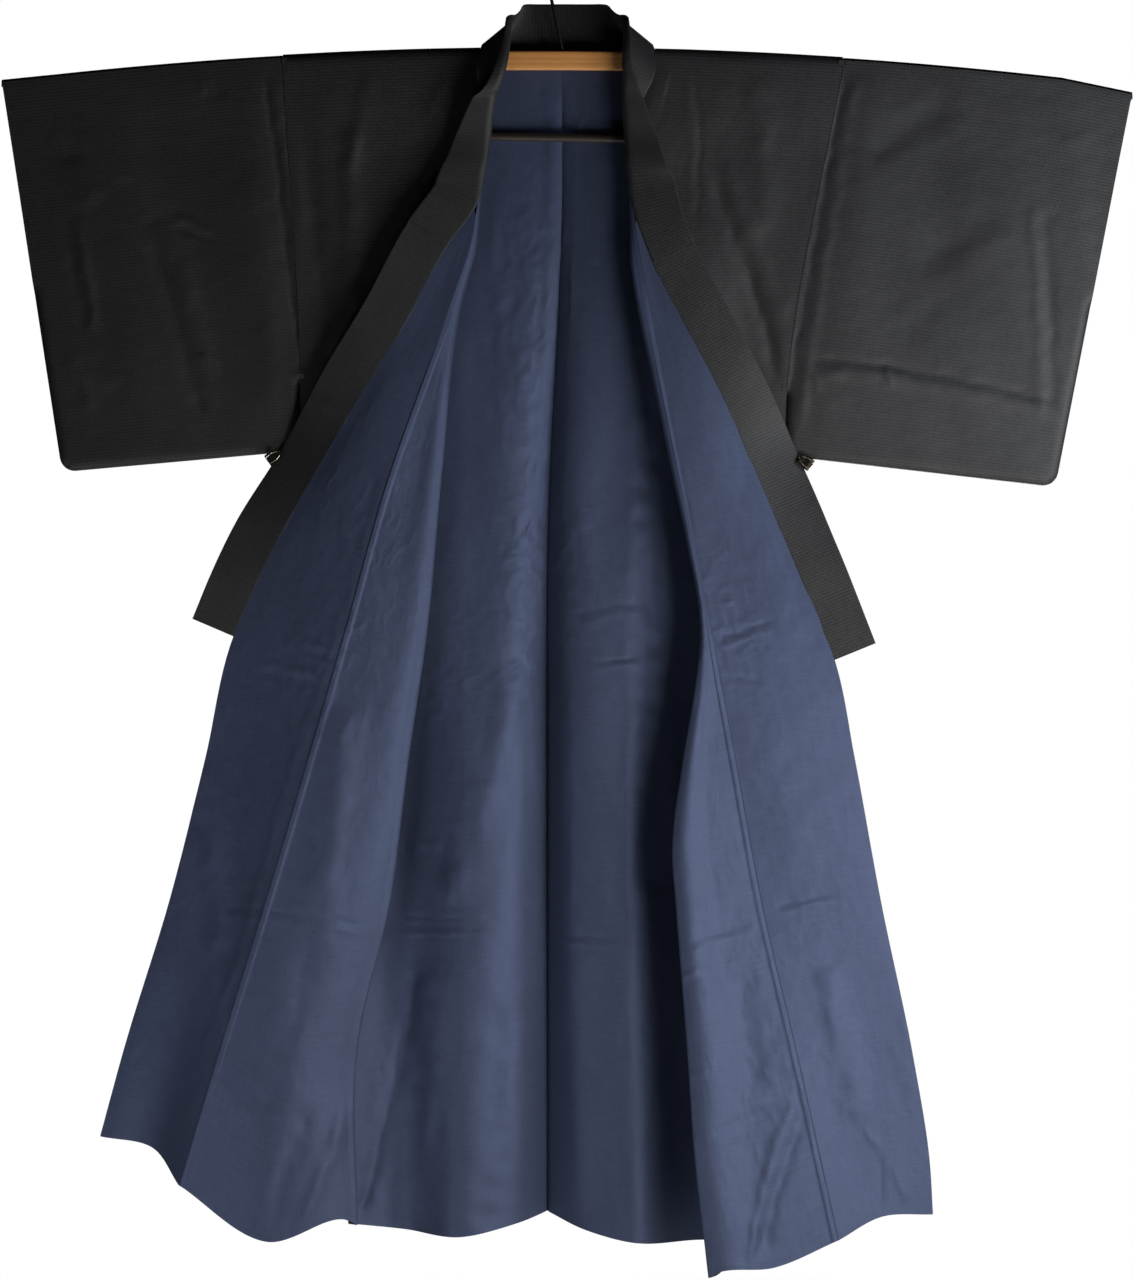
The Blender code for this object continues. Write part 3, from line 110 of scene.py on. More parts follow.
# lines down the cloth: rows of (drop, out, fore), but (drop, lift, sag) for a flap
lineTables = {
    "right": {
        "centre": [(4, 0, -9.5), (182, 0, -16), (590, 17, -36), (900, 18, -50),
                   (1400, 18, -66)],
        "flank": [(4, 42, -9.5), (182, 34, -11), (590, 48, -13), (900, 50, -16),
                  (1412, 54, -24)],
        "neck": [(9.5, 98, -9.5), (182, 102, -9.5), (590, 112, -8), (900, 116, -3),
                 (1427, 122, 0)],
        "outer": [(9.5, 215, -9.5), (182, 215, -9.5), (590, 205, -15), (900, 198, -26),
                  (1420, 190, -38)],
        "side": [(9.5, 335, 0), (398, 314, 0), (510, 313, 0), (700, 304, -4),
                 (1021, 284, -8), (1202, 268, -12), (1412, 256, -16)],
        "near": [(9.5, 256, 0), (300, 250, 3), (510, 255, 5), (852, 256, 2),
                 (1202, 260, -8), (1412, 254, -12)],
        "mid": [(9.5, 176, 0), (182, 178, 5), (300, 186, 8), (510, 200, 9),
                (852, 216, 7), (1202, 254, -4), (1412, 251, -8)],
        "fold": [(150, 87, 14), (230, 100, 22), (299, 119, 24), (510, 144, 25),
                 (700, 162, 23), (852, 184, 20), (1021, 206, 16), (1202, 246, 8),
                 (1412, 246, 4)],
        "flap": [(9.5, 1, 0), (700, 4, 0), (1021, 12, 4), (1202, 19, 14), (1412, 27, 42)],
        "okumi": [(185, 101, 28), (230, 108, 32), (299, 130, 34), (398, 166, 37),
                  (510, 206, 41), (700, 260, 46), (1021, 354, 48), (1202, 410, 42),
                  (1362, 458, 34)],
        "panel": [(185, 103, 28), (398, 208, 35), (590, 292, 35), (708, 328, 36),
                  (1021, 414, 24), (1190, 462, 14), (1320, 490, 4)],
        "collar": [(9.5, 98, 9.5), (62, 97, 12), (107, 94, 15), (150, 94, 21),
                   (185, 101, 28), (239, 138, 32), (335, 190, 33), (426, 246, 30),
                   (517, 299, 25), (592, 341, 26), (650, 369, 28), (706, 393, 28)],
        "edge": [(706, 393, 28), (852, 427, 20), (1021, 470, 8), (1202, 526, -6),
                 (1307, 555, -16)],
    },
    "left": {
        "centre": [(4, 0, -9.5), (182, 0, -16), (590, -17, -36), (900, -18, -50),
                   (1400, -18, -66)],
        "flank": [(4, 38, -9.5), (182, 20, -11), (590, 6, -15), (900, 6, -18),
                  (1421, 30, -26)],
        "neck": [(9.5, 111, -9.5), (182, 100, -9.5), (590, 78, -10), (900, 74, -8),
                 (1434, 84, -6)],
        "outer": [(9.5, 220, -9.5), (182, 204, -10), (590, 172, -26), (900, 162, -38),
                  (1434, 164, -48)],
        "side": [(9.5, 337, 0), (413, 269, 0), (510, 266, -6), (700, 262, -14),
                 (1021, 252, -20), (1202, 247, -22), (1430, 244, -26)],
        "near": [(9.5, 262, 0), (300, 226, 2), (413, 218, 0), (590, 218, -2),
                 (852, 220, 2), (1430, 222, 2)],
        "mid": [(9.5, 186, 0), (182, 160, 6), (300, 156, 14), (413, 164, 20),
                (590, 184, 24), (852, 184, 30), (1455, 198, 36)],
        "fold": [(150, 72, 15), (185, 75, 22), (290, 87, 30), (413, 112, 37),
                 (510, 132, 42), (590, 149, 47), (700, 166, 53), (782, 157, 57),
                 (852, 145, 58), (968, 132, 60), (1022, 136, 61), (1202, 150, 64),
                 (1319, 158, 67), (1470, 175, 70)],
        "flap": [(9.5, 1, 0), (700, 2, 0), (1202, 3, 2), (1470, 4, 10)],
        "okumi": [(185, 84, 29), (317, 106, 34), (413, 124, 38), (590, 158, 46),
                  (708, 180, 52), (852, 207, 50), (1021, 238, 46), (1202, 280, 48),
                  (1427, 330, 48)],
        "panel": [(185, 87, 29), (413, 158, 37), (590, 218, 38), (708, 250, 44),
                  (1021, 312, 40), (1202, 346, 36), (1400, 382, 34)],
        "collar": [(9.5, 111, 9.5), (62, 97, 13), (107, 87, 16), (150, 80, 22),
                   (185, 84, 29), (270, 114, 34), (358, 161, 34), (425, 195, 31),
                   (505, 230, 26), (570, 258, 27), (626, 282, 30), (734, 326, 33)],
        "edge": [(734, 326, 33), (852, 350, 34), (1021, 381, 32), (1214, 421, 28),
                 (1334, 440, 24), (1398, 444, 22)],
    },
}

# collar band: station, width, roll, turn, then the way it leaves its seam (out, fore, up)
collarTable = [
    (-110, 60.0, 1.30, 150.0, 0.00, -0.06, 1.00),
    (-75, 60.0, 1.28, 150.0, 0.00, -0.06, 1.00),
    (-50, 60.0, 1.22, 150.0, -0.18, 0.00, 0.98),
    (-25, 58.0, 1.12, 150.0, -0.50, 0.10, 0.84),
    (-12, 56.0, 1.04, 152.0, -0.62, 0.20, 0.70),
    (-3, 55.0, 0.97, 155.0, -0.70, 0.26, 0.58),
    (9.5, 55.0, 0.88, 160.0, -0.74, 0.20, 0.56),
    (34, 55.0, 0.72, 165.0, -0.85, 0.10, 0.35),
    (62, 55.0, 0.52, 168.0, -1.00, 0.10, 0.00),
    (90, 55.0, 0.35, 170.0, -1.00, 0.10, 0.00),
    (122, 55.0, 0.17, 172.0, -1.00, 0.00, 0.00),
    (150, 55.0, 0.05, 174.0, -1.00, 0.00, 0.00),
    (185, 54.0, -0.08, 174.0, -1.00, 0.00, 0.00),
    (240, 54.0, -0.22, 176.0, -1.00, 0.00, 0.00),
    (400, 54.0, -0.24, 184.0, -1.00, 0.00, 0.00),
    (500, 54.0, -0.24, 199.0, -1.00, 0.00, 0.00),
    (600, 54.0, -0.24, 184.0, -1.00, 0.00, 0.00),
    (740, 52.0, -0.24, 176.0, -1.00, 0.00, 0.00),
]
collarWays = {
    "lean": {"right": 0.9, "left": 0.1},
    "leanStations": ((5.0, 50.0), (80.0, 170.0)),
    "leanTurn": 36.0,          # degrees that a whole lean takes from the turn
    "pull": {"right": -2.5, "left": 3.5},
    "pullStations": ((380.0, 500.0), (500.0, 620.0)),
    "rollWidth": 0.34,
    "squareBy": 40.0,          # from this station the band leaves square to its seam
    "steps": 192,
    # seam round the back of the neck: station, out, fore, drop
    "neckRail": [
        (-110, 0, -13.5, 8), (-70, 38, -13.5, 8), (-45, 62, -13.5, 8), (-25, 82, -12.8, 7),
        (-12, 92.5, -9.5, 3.5), (-3, 96, -3, -1), (4, 97, 5.5, 1.0),
    ],
}

# corners of each flat sleeve as (out, drop)
sleeveTables = {
    "right": {"topIn": (335.6, 9), "topOut": (672, 38), "bottomOut": (600, 509),
              "bottomIn": (314.6, 483.6), "armholeEnd": (314.6, 398)},
    "left": {"topIn": (337.6, 11.8), "topOut": (684, 53), "bottomOut": (592, 527),
             "bottomIn": (267.6, 489.7), "armholeEnd": (269.6, 413)},
}


# curves and tables


def smoothStep(low, high, value):
    # 0 at low to 1 at high, as 3 t^2 - 2 t^3
    share = np.clip((np.asarray(value, float) - low) / (high - low), 0.0, 1.0)
    return share * share * (3.0 - 2.0 * share)


def plateau(rise, fall, value):
    # 0, up to 1 over rise, and back to 0 over fall
    return smoothStep(*rise, value) * (1.0 - smoothStep(*fall, value))


def bell(value, half):
    # exp of minus the square of value over half
    return np.exp(-np.square(np.asarray(value, float) / half))


def hermite(knots, values, at):
    # cubic through the values; each tangent is the mean of its two slopes, weighted by gaps
    gaps = np.diff(knots, axis=-1)[..., None]
    slopes = np.diff(values, axis=-2) / gaps
    inner = gaps[..., 1:, :] * slopes[..., :-1, :] + gaps[..., :-1, :] * slopes[..., 1:, :]
    inner = inner / (gaps[..., 1:, :] + gaps[..., :-1, :])
    tangents = np.concatenate([slopes[..., :1, :], inner, slopes[..., -1:, :]], axis=-2)
    at = np.asarray(at, float)
    index = np.clip(np.floor(at).astype(int), 0, values.shape[-2] - 2)
    t = (at - index)[:, None]
    gap = gaps[..., index, :]
    return ((2 * t**3 - 3 * t**2 + 1) * values[..., index, :]
            + (t**3 - 2 * t**2 + t) * gap * tangents[..., index, :]
            + (3 * t**2 - 2 * t**3) * values[..., index + 1, :]
            + (t**3 - t**2) * gap * tangents[..., index + 1, :])


def tableCurve(rows, at):
    # the table's columns where its first column equals at
    rows = np.asarray(rows, float)
    knots = rows[:, 0]
    at = np.clip(np.asarray(at, float), knots[0], knots[-1])
    index = np.clip(np.searchsorted(knots, at, side="right") - 1, 0, len(knots) - 2)
    number = index + (at - knots[index]) / (knots[index + 1] - knots[index])
    return hermite(knots, rows[:, 1:], number)


def archDrop(out, side):
    # arch * out^2, plus the tilt
    return hangerSizes["arch"] * out**2 + signOf[side] * hangerSizes["tilt"] * out


def linePoints(rows, shares, side):
    # a line's points at shares of its length; the shoulder's arch fades as (1 - share)^2
    rows = np.asarray(rows, float)
    shares = np.asarray(shares, float)
    drop = rows[0, 0] + shares * (rows[-1, 0] - rows[0, 0])
    columns = tableCurve(rows, drop)
    fallen = archDrop(rows[0, 1], side) * np.clip(1.0 - shares, 0.0, 1.0) ** 2
    return np.stack([columns[:, 0], columns[:, 1], drop + fallen], axis=-1)


def through(controls, cuts):
    # smooth curves across the lines, cut at the given line numbers
    chords = np.linalg.norm(np.diff(controls, axis=1), axis=-1)
    knots = np.concatenate([np.zeros((len(controls), 1)), np.cumsum(chords, axis=1)], axis=1)
    return hermite(knots, controls, cuts)


def spread(length, step, places=(), fineStep=2.2, reach=9.0):
    # shares from 0 to 1, about step apart, and closer together near the given places
    at = np.linspace(0.0, length, 4000)
    density = np.full(at.shape, 1.0 / step)
    for place in places:
        density += (1.0 / fineStep - 1.0 / step) * bell(at - place, reach)
    total = np.concatenate([[0.0], np.cumsum((density[1:] + density[:-1]) / 2 * np.diff(at))])
    count = int(round(total[-1]))
    return np.interp(np.linspace(0.0, total[-1], count + 1), total, at) / length


def columnsOf(counts):
    # line numbers 0, 1, 2 ... with each interval cut into its own count of steps
    parts = [index + np.arange(count) / count for index, count in enumerate(counts)]
    return np.concatenate(parts + [[float(len(counts))]])


# panels

# how a front turns: in an arc beside the neck, and back over its fold further down
turnSizes = {
    "curlDrops": (85.0, 200.0),    # the arc grows between these
    "curlPoints": [(36.0, 22.0), (24.0, 13.0), (16.0, 8.6), (8.0, 4.3)],  # flat and curled
    "curlRun": 90.0,
    "foldDrops": (180.0, 260.0),   # and the fold takes over between these
    "standOff": 0.6,
    "reach": 1.35,                 # times the fold's radius
    "before": (0.45, 0.5, 0.1),    # shares of the way to the next line: out, fore, drop
    "after": (0.22, 0.4, 0.1),
    "spare": 1.5,
    "wide": (8.0, 60.0),           # a flap of this width changes from narrow to wide
    "narrowAfter": ((0.16, 0.45, 0.2), 3.0),
    "narrowFlap": ((0.48, 0.80, 0.55), 3.6),
    "panelOpens": (55.0, 175.0),   # the overlap panel widens so far below its point
}


def fromShoulder(rows):
    # the rows, with the first one repeated at the shoulder
    return [(clothSizes["shoulderRadius"], *rows[0][1:])] + list(rows)


def hangingDepth(drop):
    # half the depth: the bar's radius, eased to that of a hanging sleeve
    radius = clothSizes["shoulderRadius"]
    return radius + (clothSizes["sleeveHalf"] - radius) * smoothStep(20, 140, drop)


def sideDepth(drop, side):
    # half the depth at the side: as a hanging sleeve, eased to a closed seam
    end = clothSizes["armholeEnd"][side]
    hanging = hangingDepth(drop)
    return hanging + (clothSizes["closedHalf"] - hanging) * smoothStep(end - 60, end + 30, drop)


def backSheet(side, rows, cuts):
    # a smooth surface through five lines, from the side seam to the centre seam
    controls = [linePoints(lineTables[side][name], rows, side)
                for name in ("side", "outer", "neck", "flank", "centre")]
    controls[0][:, 1] -= sideDepth(controls[0][:, 2], side)
    return through(np.stack(controls, axis=1), cuts)


def neckCurl(seam, middle):
    # a straight run from the middle of the front, then an arc that ends at the seam
    inward = (seam - middle)[:, :2]
    inward /= np.linalg.norm(inward, axis=1)[:, None]
    forward = np.stack([inward[:, 1], -inward[:, 0]], axis=1)
    share = smoothStep(*turnSizes["curlDrops"], seam[:, 2])
    angle = math.radians(clothSizes["neckCurl"]) * share
    radius = clothSizes["curlRadius"]
    sine, rise = np.sin(angle)[:, None], (1.0 - np.cos(angle))[:, None]
    start = seam[:, :2] - radius * (sine * inward + rise * forward)
    found = []
    for flat, curled in turnSizes["curlPoints"]:
        distance = flat + (curled - flat) * share
        left = np.maximum(angle - distance / radius, 0.0)[:, None]
        straight = np.maximum(distance - angle * radius, 0.0)[:, None]
        at = start + radius * (np.sin(left) * inward + (1 - np.cos(left)) * forward)
        at = at - straight * inward
        drop = seam[:, 2:3] + (middle - seam)[:, 2:3] * straight / turnSizes["curlRun"]
        found.append(np.concatenate([at, drop], axis=1))
    return found


def seamRows(side):
    # the front's inner edge: the collar's line down to the panel's point, then the panel's
    lines = lineTables[side]
    above = [row for row in lines["collar"] if row[0] < clothSizes["panelPoint"]]
    return above + list(lines["okumi"])


def besideFold(way, radius, shares, lift, spare=0.0):
    # shares of the way to the next line, held to the roundness of the fold
    return np.stack([np.minimum(turnSizes["reach"] * radius, shares[0] * way[:, 0]),
                     lift * np.minimum(radius, shares[1] * np.abs(way[:, 1]) + spare),
                     shares[2] * way[:, 2]], axis=-1)


def narrowFold(fold, ahead, shares, lift):
    # shares of the way to the seam, at least lift in front of the fold
    points = fold + ahead * np.array(shares)
    points[:, 1] = np.maximum(points[:, 1], fold[:, 1] + lift)
    return points


def frontSheet(side, rows, cuts):
    # one front: side edge, round its turned-back fold, to the overlap panel's seam
    lines, sizes = lineTables[side], turnSizes
    radius = clothSizes["foldRadius"][side]
    edge, near, middle = (linePoints(lines[name], rows, side)
                          for name in ("side", "near", "mid"))
    edge[:, 1] += sideDepth(edge[:, 2], side)
    for points in (near, middle):
        points[:, 1] += sideDepth(points[:, 2], side) + sizes["standOff"]
    fold = linePoints(fromShoulder(lines["fold"]), rows, side)
    seam = linePoints(seamRows(side), rows, side)
    ahead = seam - fold
    before = fold + besideFold(middle - fold, radius, sizes["before"], -1.0)
    after = fold + besideFold(ahead, radius, sizes["after"], 1.0, sizes["spare"])
    flap = fold + ahead * 0.5
    flap[:, 1:] += linePoints(lines["flap"], rows, side)[:, :2]
    wide = smoothStep(*sizes["wide"], np.linalg.norm(ahead, axis=1))[:, None]
    narrow = [narrowFold(fold, ahead, *sizes[name]) for name in ("narrowAfter", "narrowFlap")]
    after, flap = [low + (high - low) * wide for low, high in zip(narrow, (after, flap))]
    # up beside the neck it opens out into an arc that ends at the seam
    turned = smoothStep(*sizes["foldDrops"], fold[:, 2:3])
    before, fold, after, flap = [low + (high - low) * turned for low, high in
                                 zip(neckCurl(seam, middle), (before, fold, after, flap))]
    order = [edge, near, middle, before, fold, after, flap, seam]
    return through(np.stack(order, axis=1), cuts)


def overlapSheet(side, rows, cuts):
    # the overlap panel, from its seam to the collar and the open edge
    lines = lineTables[side]
    seam = linePoints(seamRows(side), rows, side)
    edge = linePoints(list(lines["collar"]) + list(lines["edge"])[1:], rows, side)
    middle = linePoints(fromShoulder(lines["panel"]), rows, side)
    halfway = (seam + edge) / 2
    opens = [clothSizes["panelPoint"] + below for below in turnSizes["panelOpens"]]
    middle = halfway + (middle - halfway) * smoothStep(*opens, middle[:, 2:3])
    return through(np.stack([seam, middle, edge], axis=1), cuts)


# collar band

def collarRail(side, stations):
    # the band's seam: round the back of the neck, then down the front, and its direction
    table = lineTables[side]["collar"]
    neck, rightNeck = table[0][1], lineTables["right"]["collar"][0][1]
    fall = archDrop(neck, side)
    rows = [(at, out * neck / rightNeck, fore, drop)
            for at, out, fore, drop in collarWays["neckRail"]]
    rows += [(drop, out, fore, drop + fall * (1 - drop / clothSizes["length"]) ** 2)
             for drop, out, fore in table]
    last = rows[-1][0]
    stations = np.minimum(stations, last)
    ways = tableCurve(rows, np.minimum(stations + 1.0, last))
    ways = ways - tableCurve(rows, np.maximum(stations - 1.0, rows[0][0]))
    return tableCurve(rows, stations), ways / np.linalg.norm(ways, axis=1)[:, None]


def collarSheet(side, stations, across):
    # across its width the band leaves its seam, turns back about its roll and runs on:
    # the angle is turn * smoothStep of (share - roll) / rollWidth, and its cosine and sine
    # add up to the run and the lift
    points, ways = collarRail(side, stations)
    shape = tableCurve(collarTable, np.minimum(stations, collarTable[-1][0]))
    lean = collarWays["lean"][side] * plateau(*collarWays["leanStations"], stations)
    shape[:, 2] -= collarWays["leanTurn"] * lean
    shape[:, 4] += lean
    shape[:, 0] += collarWays["pull"][side] * plateau(*collarWays["pullStations"], stations)
    width, roll, turn, leave = shape[:, 0:1], shape[:, 1:2], shape[:, 2:3], shape[:, 3:6]
    flip = np.array([1.0, 1.0, -1.0])
    ways = ways * flip
    square = smoothStep(0.0, collarWays["squareBy"], stations)[:, None]
    leave = leave - (leave * ways).sum(axis=1, keepdims=True) * ways * square
    leave /= np.linalg.norm(leave, axis=1)[:, None]
    face = np.cross(ways, leave)
    face /= np.linalg.norm(face, axis=1)[:, None]
    steps = collarWays["steps"]
    fine = np.linspace(0.0, 1.0, steps + 1)[None]
    angle = np.radians(turn) * smoothStep(-0.5, 0.5, (fine - roll) / collarWays["rollWidth"])
    middle = (angle[:, 1:] + angle[:, :-1]) / 2
    zero = np.zeros((len(stations), 1))
    run, lift = (np.concatenate([zero, np.cumsum(part(middle), axis=1) * width / steps], axis=1)
                 for part in (np.cos, np.sin))
    index = np.minimum((across * steps).astype(int), steps - 1)
    part = across * steps - index

    def at(values):
        return (values[:, index] * (1 - part) + values[:, index + 1] * part)[..., None]

    leave, face = leave[:, None], face[:, None]
    grid = at(run) * leave + at(lift) * face
    turned = at(angle)
    normals = -np.sin(turned) * leave + np.cos(turned) * face
    onward = np.cos(turned) * leave + np.sin(turned) * face
    return points[:, None] + grid * flip, normals * flip, onward * flip


def bothHalves(right, left):
    # rows from the left half's end, round the neck, to the right half's end
    return np.concatenate([left[::-1], right[1:]])


def wayOf(ways, side):
    # a direction (out, fore, drop) on the world's axes
    return ways * np.array([signOf[side], -1.0, -1.0])


def worldOf(grid, side):
    # a place (out, fore, drop) on the world's axes, in metres
    return (wayOf(grid, side) - np.array([0.0, 0.0, hangerSizes["shoulderDrop"]])) * mm


def halfRound(edge, normals, away, half, turns):
    # round an edge: edge + half * (cos * normal + sin * away)
    bend = np.linspace(0.0, math.pi, turns + 2)[1:-1][None, :, None]
    return edge + half * (np.cos(bend) * normals + np.sin(bend) * away)


def doubled(grid, normals, away, half, turns):
    # one face at half from the sheet, round its free edge, and the other face back
    far = halfRound(grid[:, -1:], normals[:, -1:], away, half, turns)
    return np.concatenate([grid + normals * half, far, (grid - normals * half)[:, ::-1]],
                          axis=1)


def wrapped(grid, normals, ends, starts, half, turns):
    # a thin closed section: both faces, with a half circle round either edge
    near = halfRound(grid[:, :1], -normals[:, :1], starts, half, turns)
    return np.concatenate([doubled(grid, normals, ends, half, turns), near], axis=1)


# sleeves, laid flat

def edgeRise(distance, reach=12.0):
    # sqrt(1 - (1 - distance / reach)^2): a closed edge swells out like a quarter circle
    share = np.clip(1.0 - np.asarray(distance, float) / reach, 0.0, 1.0)
    return np.sqrt(1.0 - share * share)


def sleeveInnerEdge(side, rows, top, bottom, end):
    # along the body's side line down to the armhole's end, then straight
    length = bottom[1] - top[1]
    armhole = (end[1] - top[1]) / length
    drop = top[1] + rows * length
    line = linePoints(lineTables[side]["side"], np.linspace(0, 1, 60), side)
    straight = end[0] + (rows - armhole) / (1.0 - armhole) * (bottom[0] - end[0])
    out = np.where(rows < armhole, np.interp(drop, line[:, 2], line[:, 0]), straight)
    return np.stack([2 * clothSizes["seamGap"] + out, drop], axis=-1)


def roundedCorner(flat, sideways, fromOuter, fromEnd):
    # the square by the lower outer corner becomes a quarter of a disc
    corner = clothSizes["sleeveCorner"]
    downward = flat[-1:] - flat[:1]
    downward = downward / np.linalg.norm(downward, axis=-1)[..., None]
    nearEdge, nearEnd = 1.0 - fromOuter / corner, 1.0 - fromEnd / corner
    both = (nearEdge > 0) & (nearEnd > 0)
    most = np.maximum(nearEdge, nearEnd)
    pull = np.where(both, most / np.maximum(np.hypot(nearEdge, nearEnd), 1e-6), 1.0)
    flat = flat - sideways * (np.maximum(nearEdge, 0) * (1 - pull) * corner)[..., None]
    return flat - downward * (np.maximum(nearEnd, 0) * (1 - pull) * corner)[..., None]


def sleeveHalf(side, rows, columns, inset, thick):
    # the sleeve's front: flat points (out, drop) and the depth there, over rows x columns
    topIn, topOut, bottomIn, bottomOut, end = (
        np.array(sleeveTables[side][name], float)
        for name in ("topIn", "topOut", "bottomIn", "bottomOut", "armholeEnd"))
    length = bottomOut[1] - topOut[1]
    rows = rows * (1.0 - inset / length)
    inner = sleeveInnerEdge(side, rows, topIn, bottomIn, end)[:, None]
    outer = (topOut + rows[:, None] * (bottomOut - topOut))[:, None]
    width = np.linalg.norm(outer - inner, axis=-1)
    across = (inset / width) + columns[None] * (1.0 - 2.0 * inset / width)
    flat = inner + across[..., None] * (outer - inner)
    # the top edge lies along the arched bar as far as it reaches, then falls straight
    reach = hangerSizes["barLength"] / 2
    out = topIn[0] + across * (topOut[0] - topIn[0])
    at = np.minimum(out, reach)
    beyond = np.clip((out - at) / (topOut[0] - reach), 0.0, 1.0)
    bar = archDrop(at, side)
    bar = bar + (topOut[1] - bar) * beyond
    level = topIn[1] + across * (topOut[1] - topIn[1])
    flat[..., 1] += (bar - level) * (1.0 - rows[:, None]) ** 2
    hanging = hangingDepth(flat[..., 1])
    # seams that are closed pull the depth down to nothing
    cuff = clothSizes["cuffOpening"]
    fromOuter, fromEnd = (1.0 - across) * width, ((1.0 - rows) * length)[:, None]
    closedOuter = smoothStep(cuff - 10, cuff + 10, rows * length)[:, None]
    closedInner = smoothStep(end[1] - 6, end[1] + 6, inner[..., 1])
    rise = 1.0 - closedOuter * (1.0 - edgeRise(fromOuter - inset))
    rise = rise * (1.0 - closedInner * (1.0 - edgeRise(across * width - inset)))
    rise = rise * edgeRise(fromEnd - inset)
    sideways = (outer - inner) / width[..., None]
    return roundedCorner(flat, sideways, fromOuter, fromEnd), (hanging + thick) * rise


# long soft folds of each sleeve: from (across, down) to (across, down), half width, height
sleeveFolds = {
    "right": [(0.10, 0.05, 0.08, 0.95, 30, 1.6), (0.42, 0.10, 0.34, 0.90, 45, -1.4),
              (0.70, 0.15, 0.62, 0.85, 40, 1.4)],
    "left": [(0.12, 0.05, 0.16, 0.95, 30, 1.6), (0.30, 0.10, 0.60, 0.60, 40, -1.5),
             (0.55, 0.12, 0.85, 0.80, 45, 1.5)],
    "width": 330.0,            # millimetres that a share of 1 across stands for
}


def sleeveWave(side, rows, columns):
    # the sum of height * bell(away / half) over the folds, faded at their ends
    wave = np.zeros((len(rows), len(columns)))
    for start, top, stop, low, half, height in sleeveFolds[side]:
        along = plateau((top - 0.1, top + 0.1), (low - 0.15, low + 0.05), rows)
        middle = start + (stop - start) * rows
        away = (columns[None, :] - middle[:, None]) * sleeveFolds["width"]
        wave += height * along[:, None] * bell(away, half)
    return wave * smoothStep(0.0, 0.12, columns)[None, :]


# pressed creases and soft folds

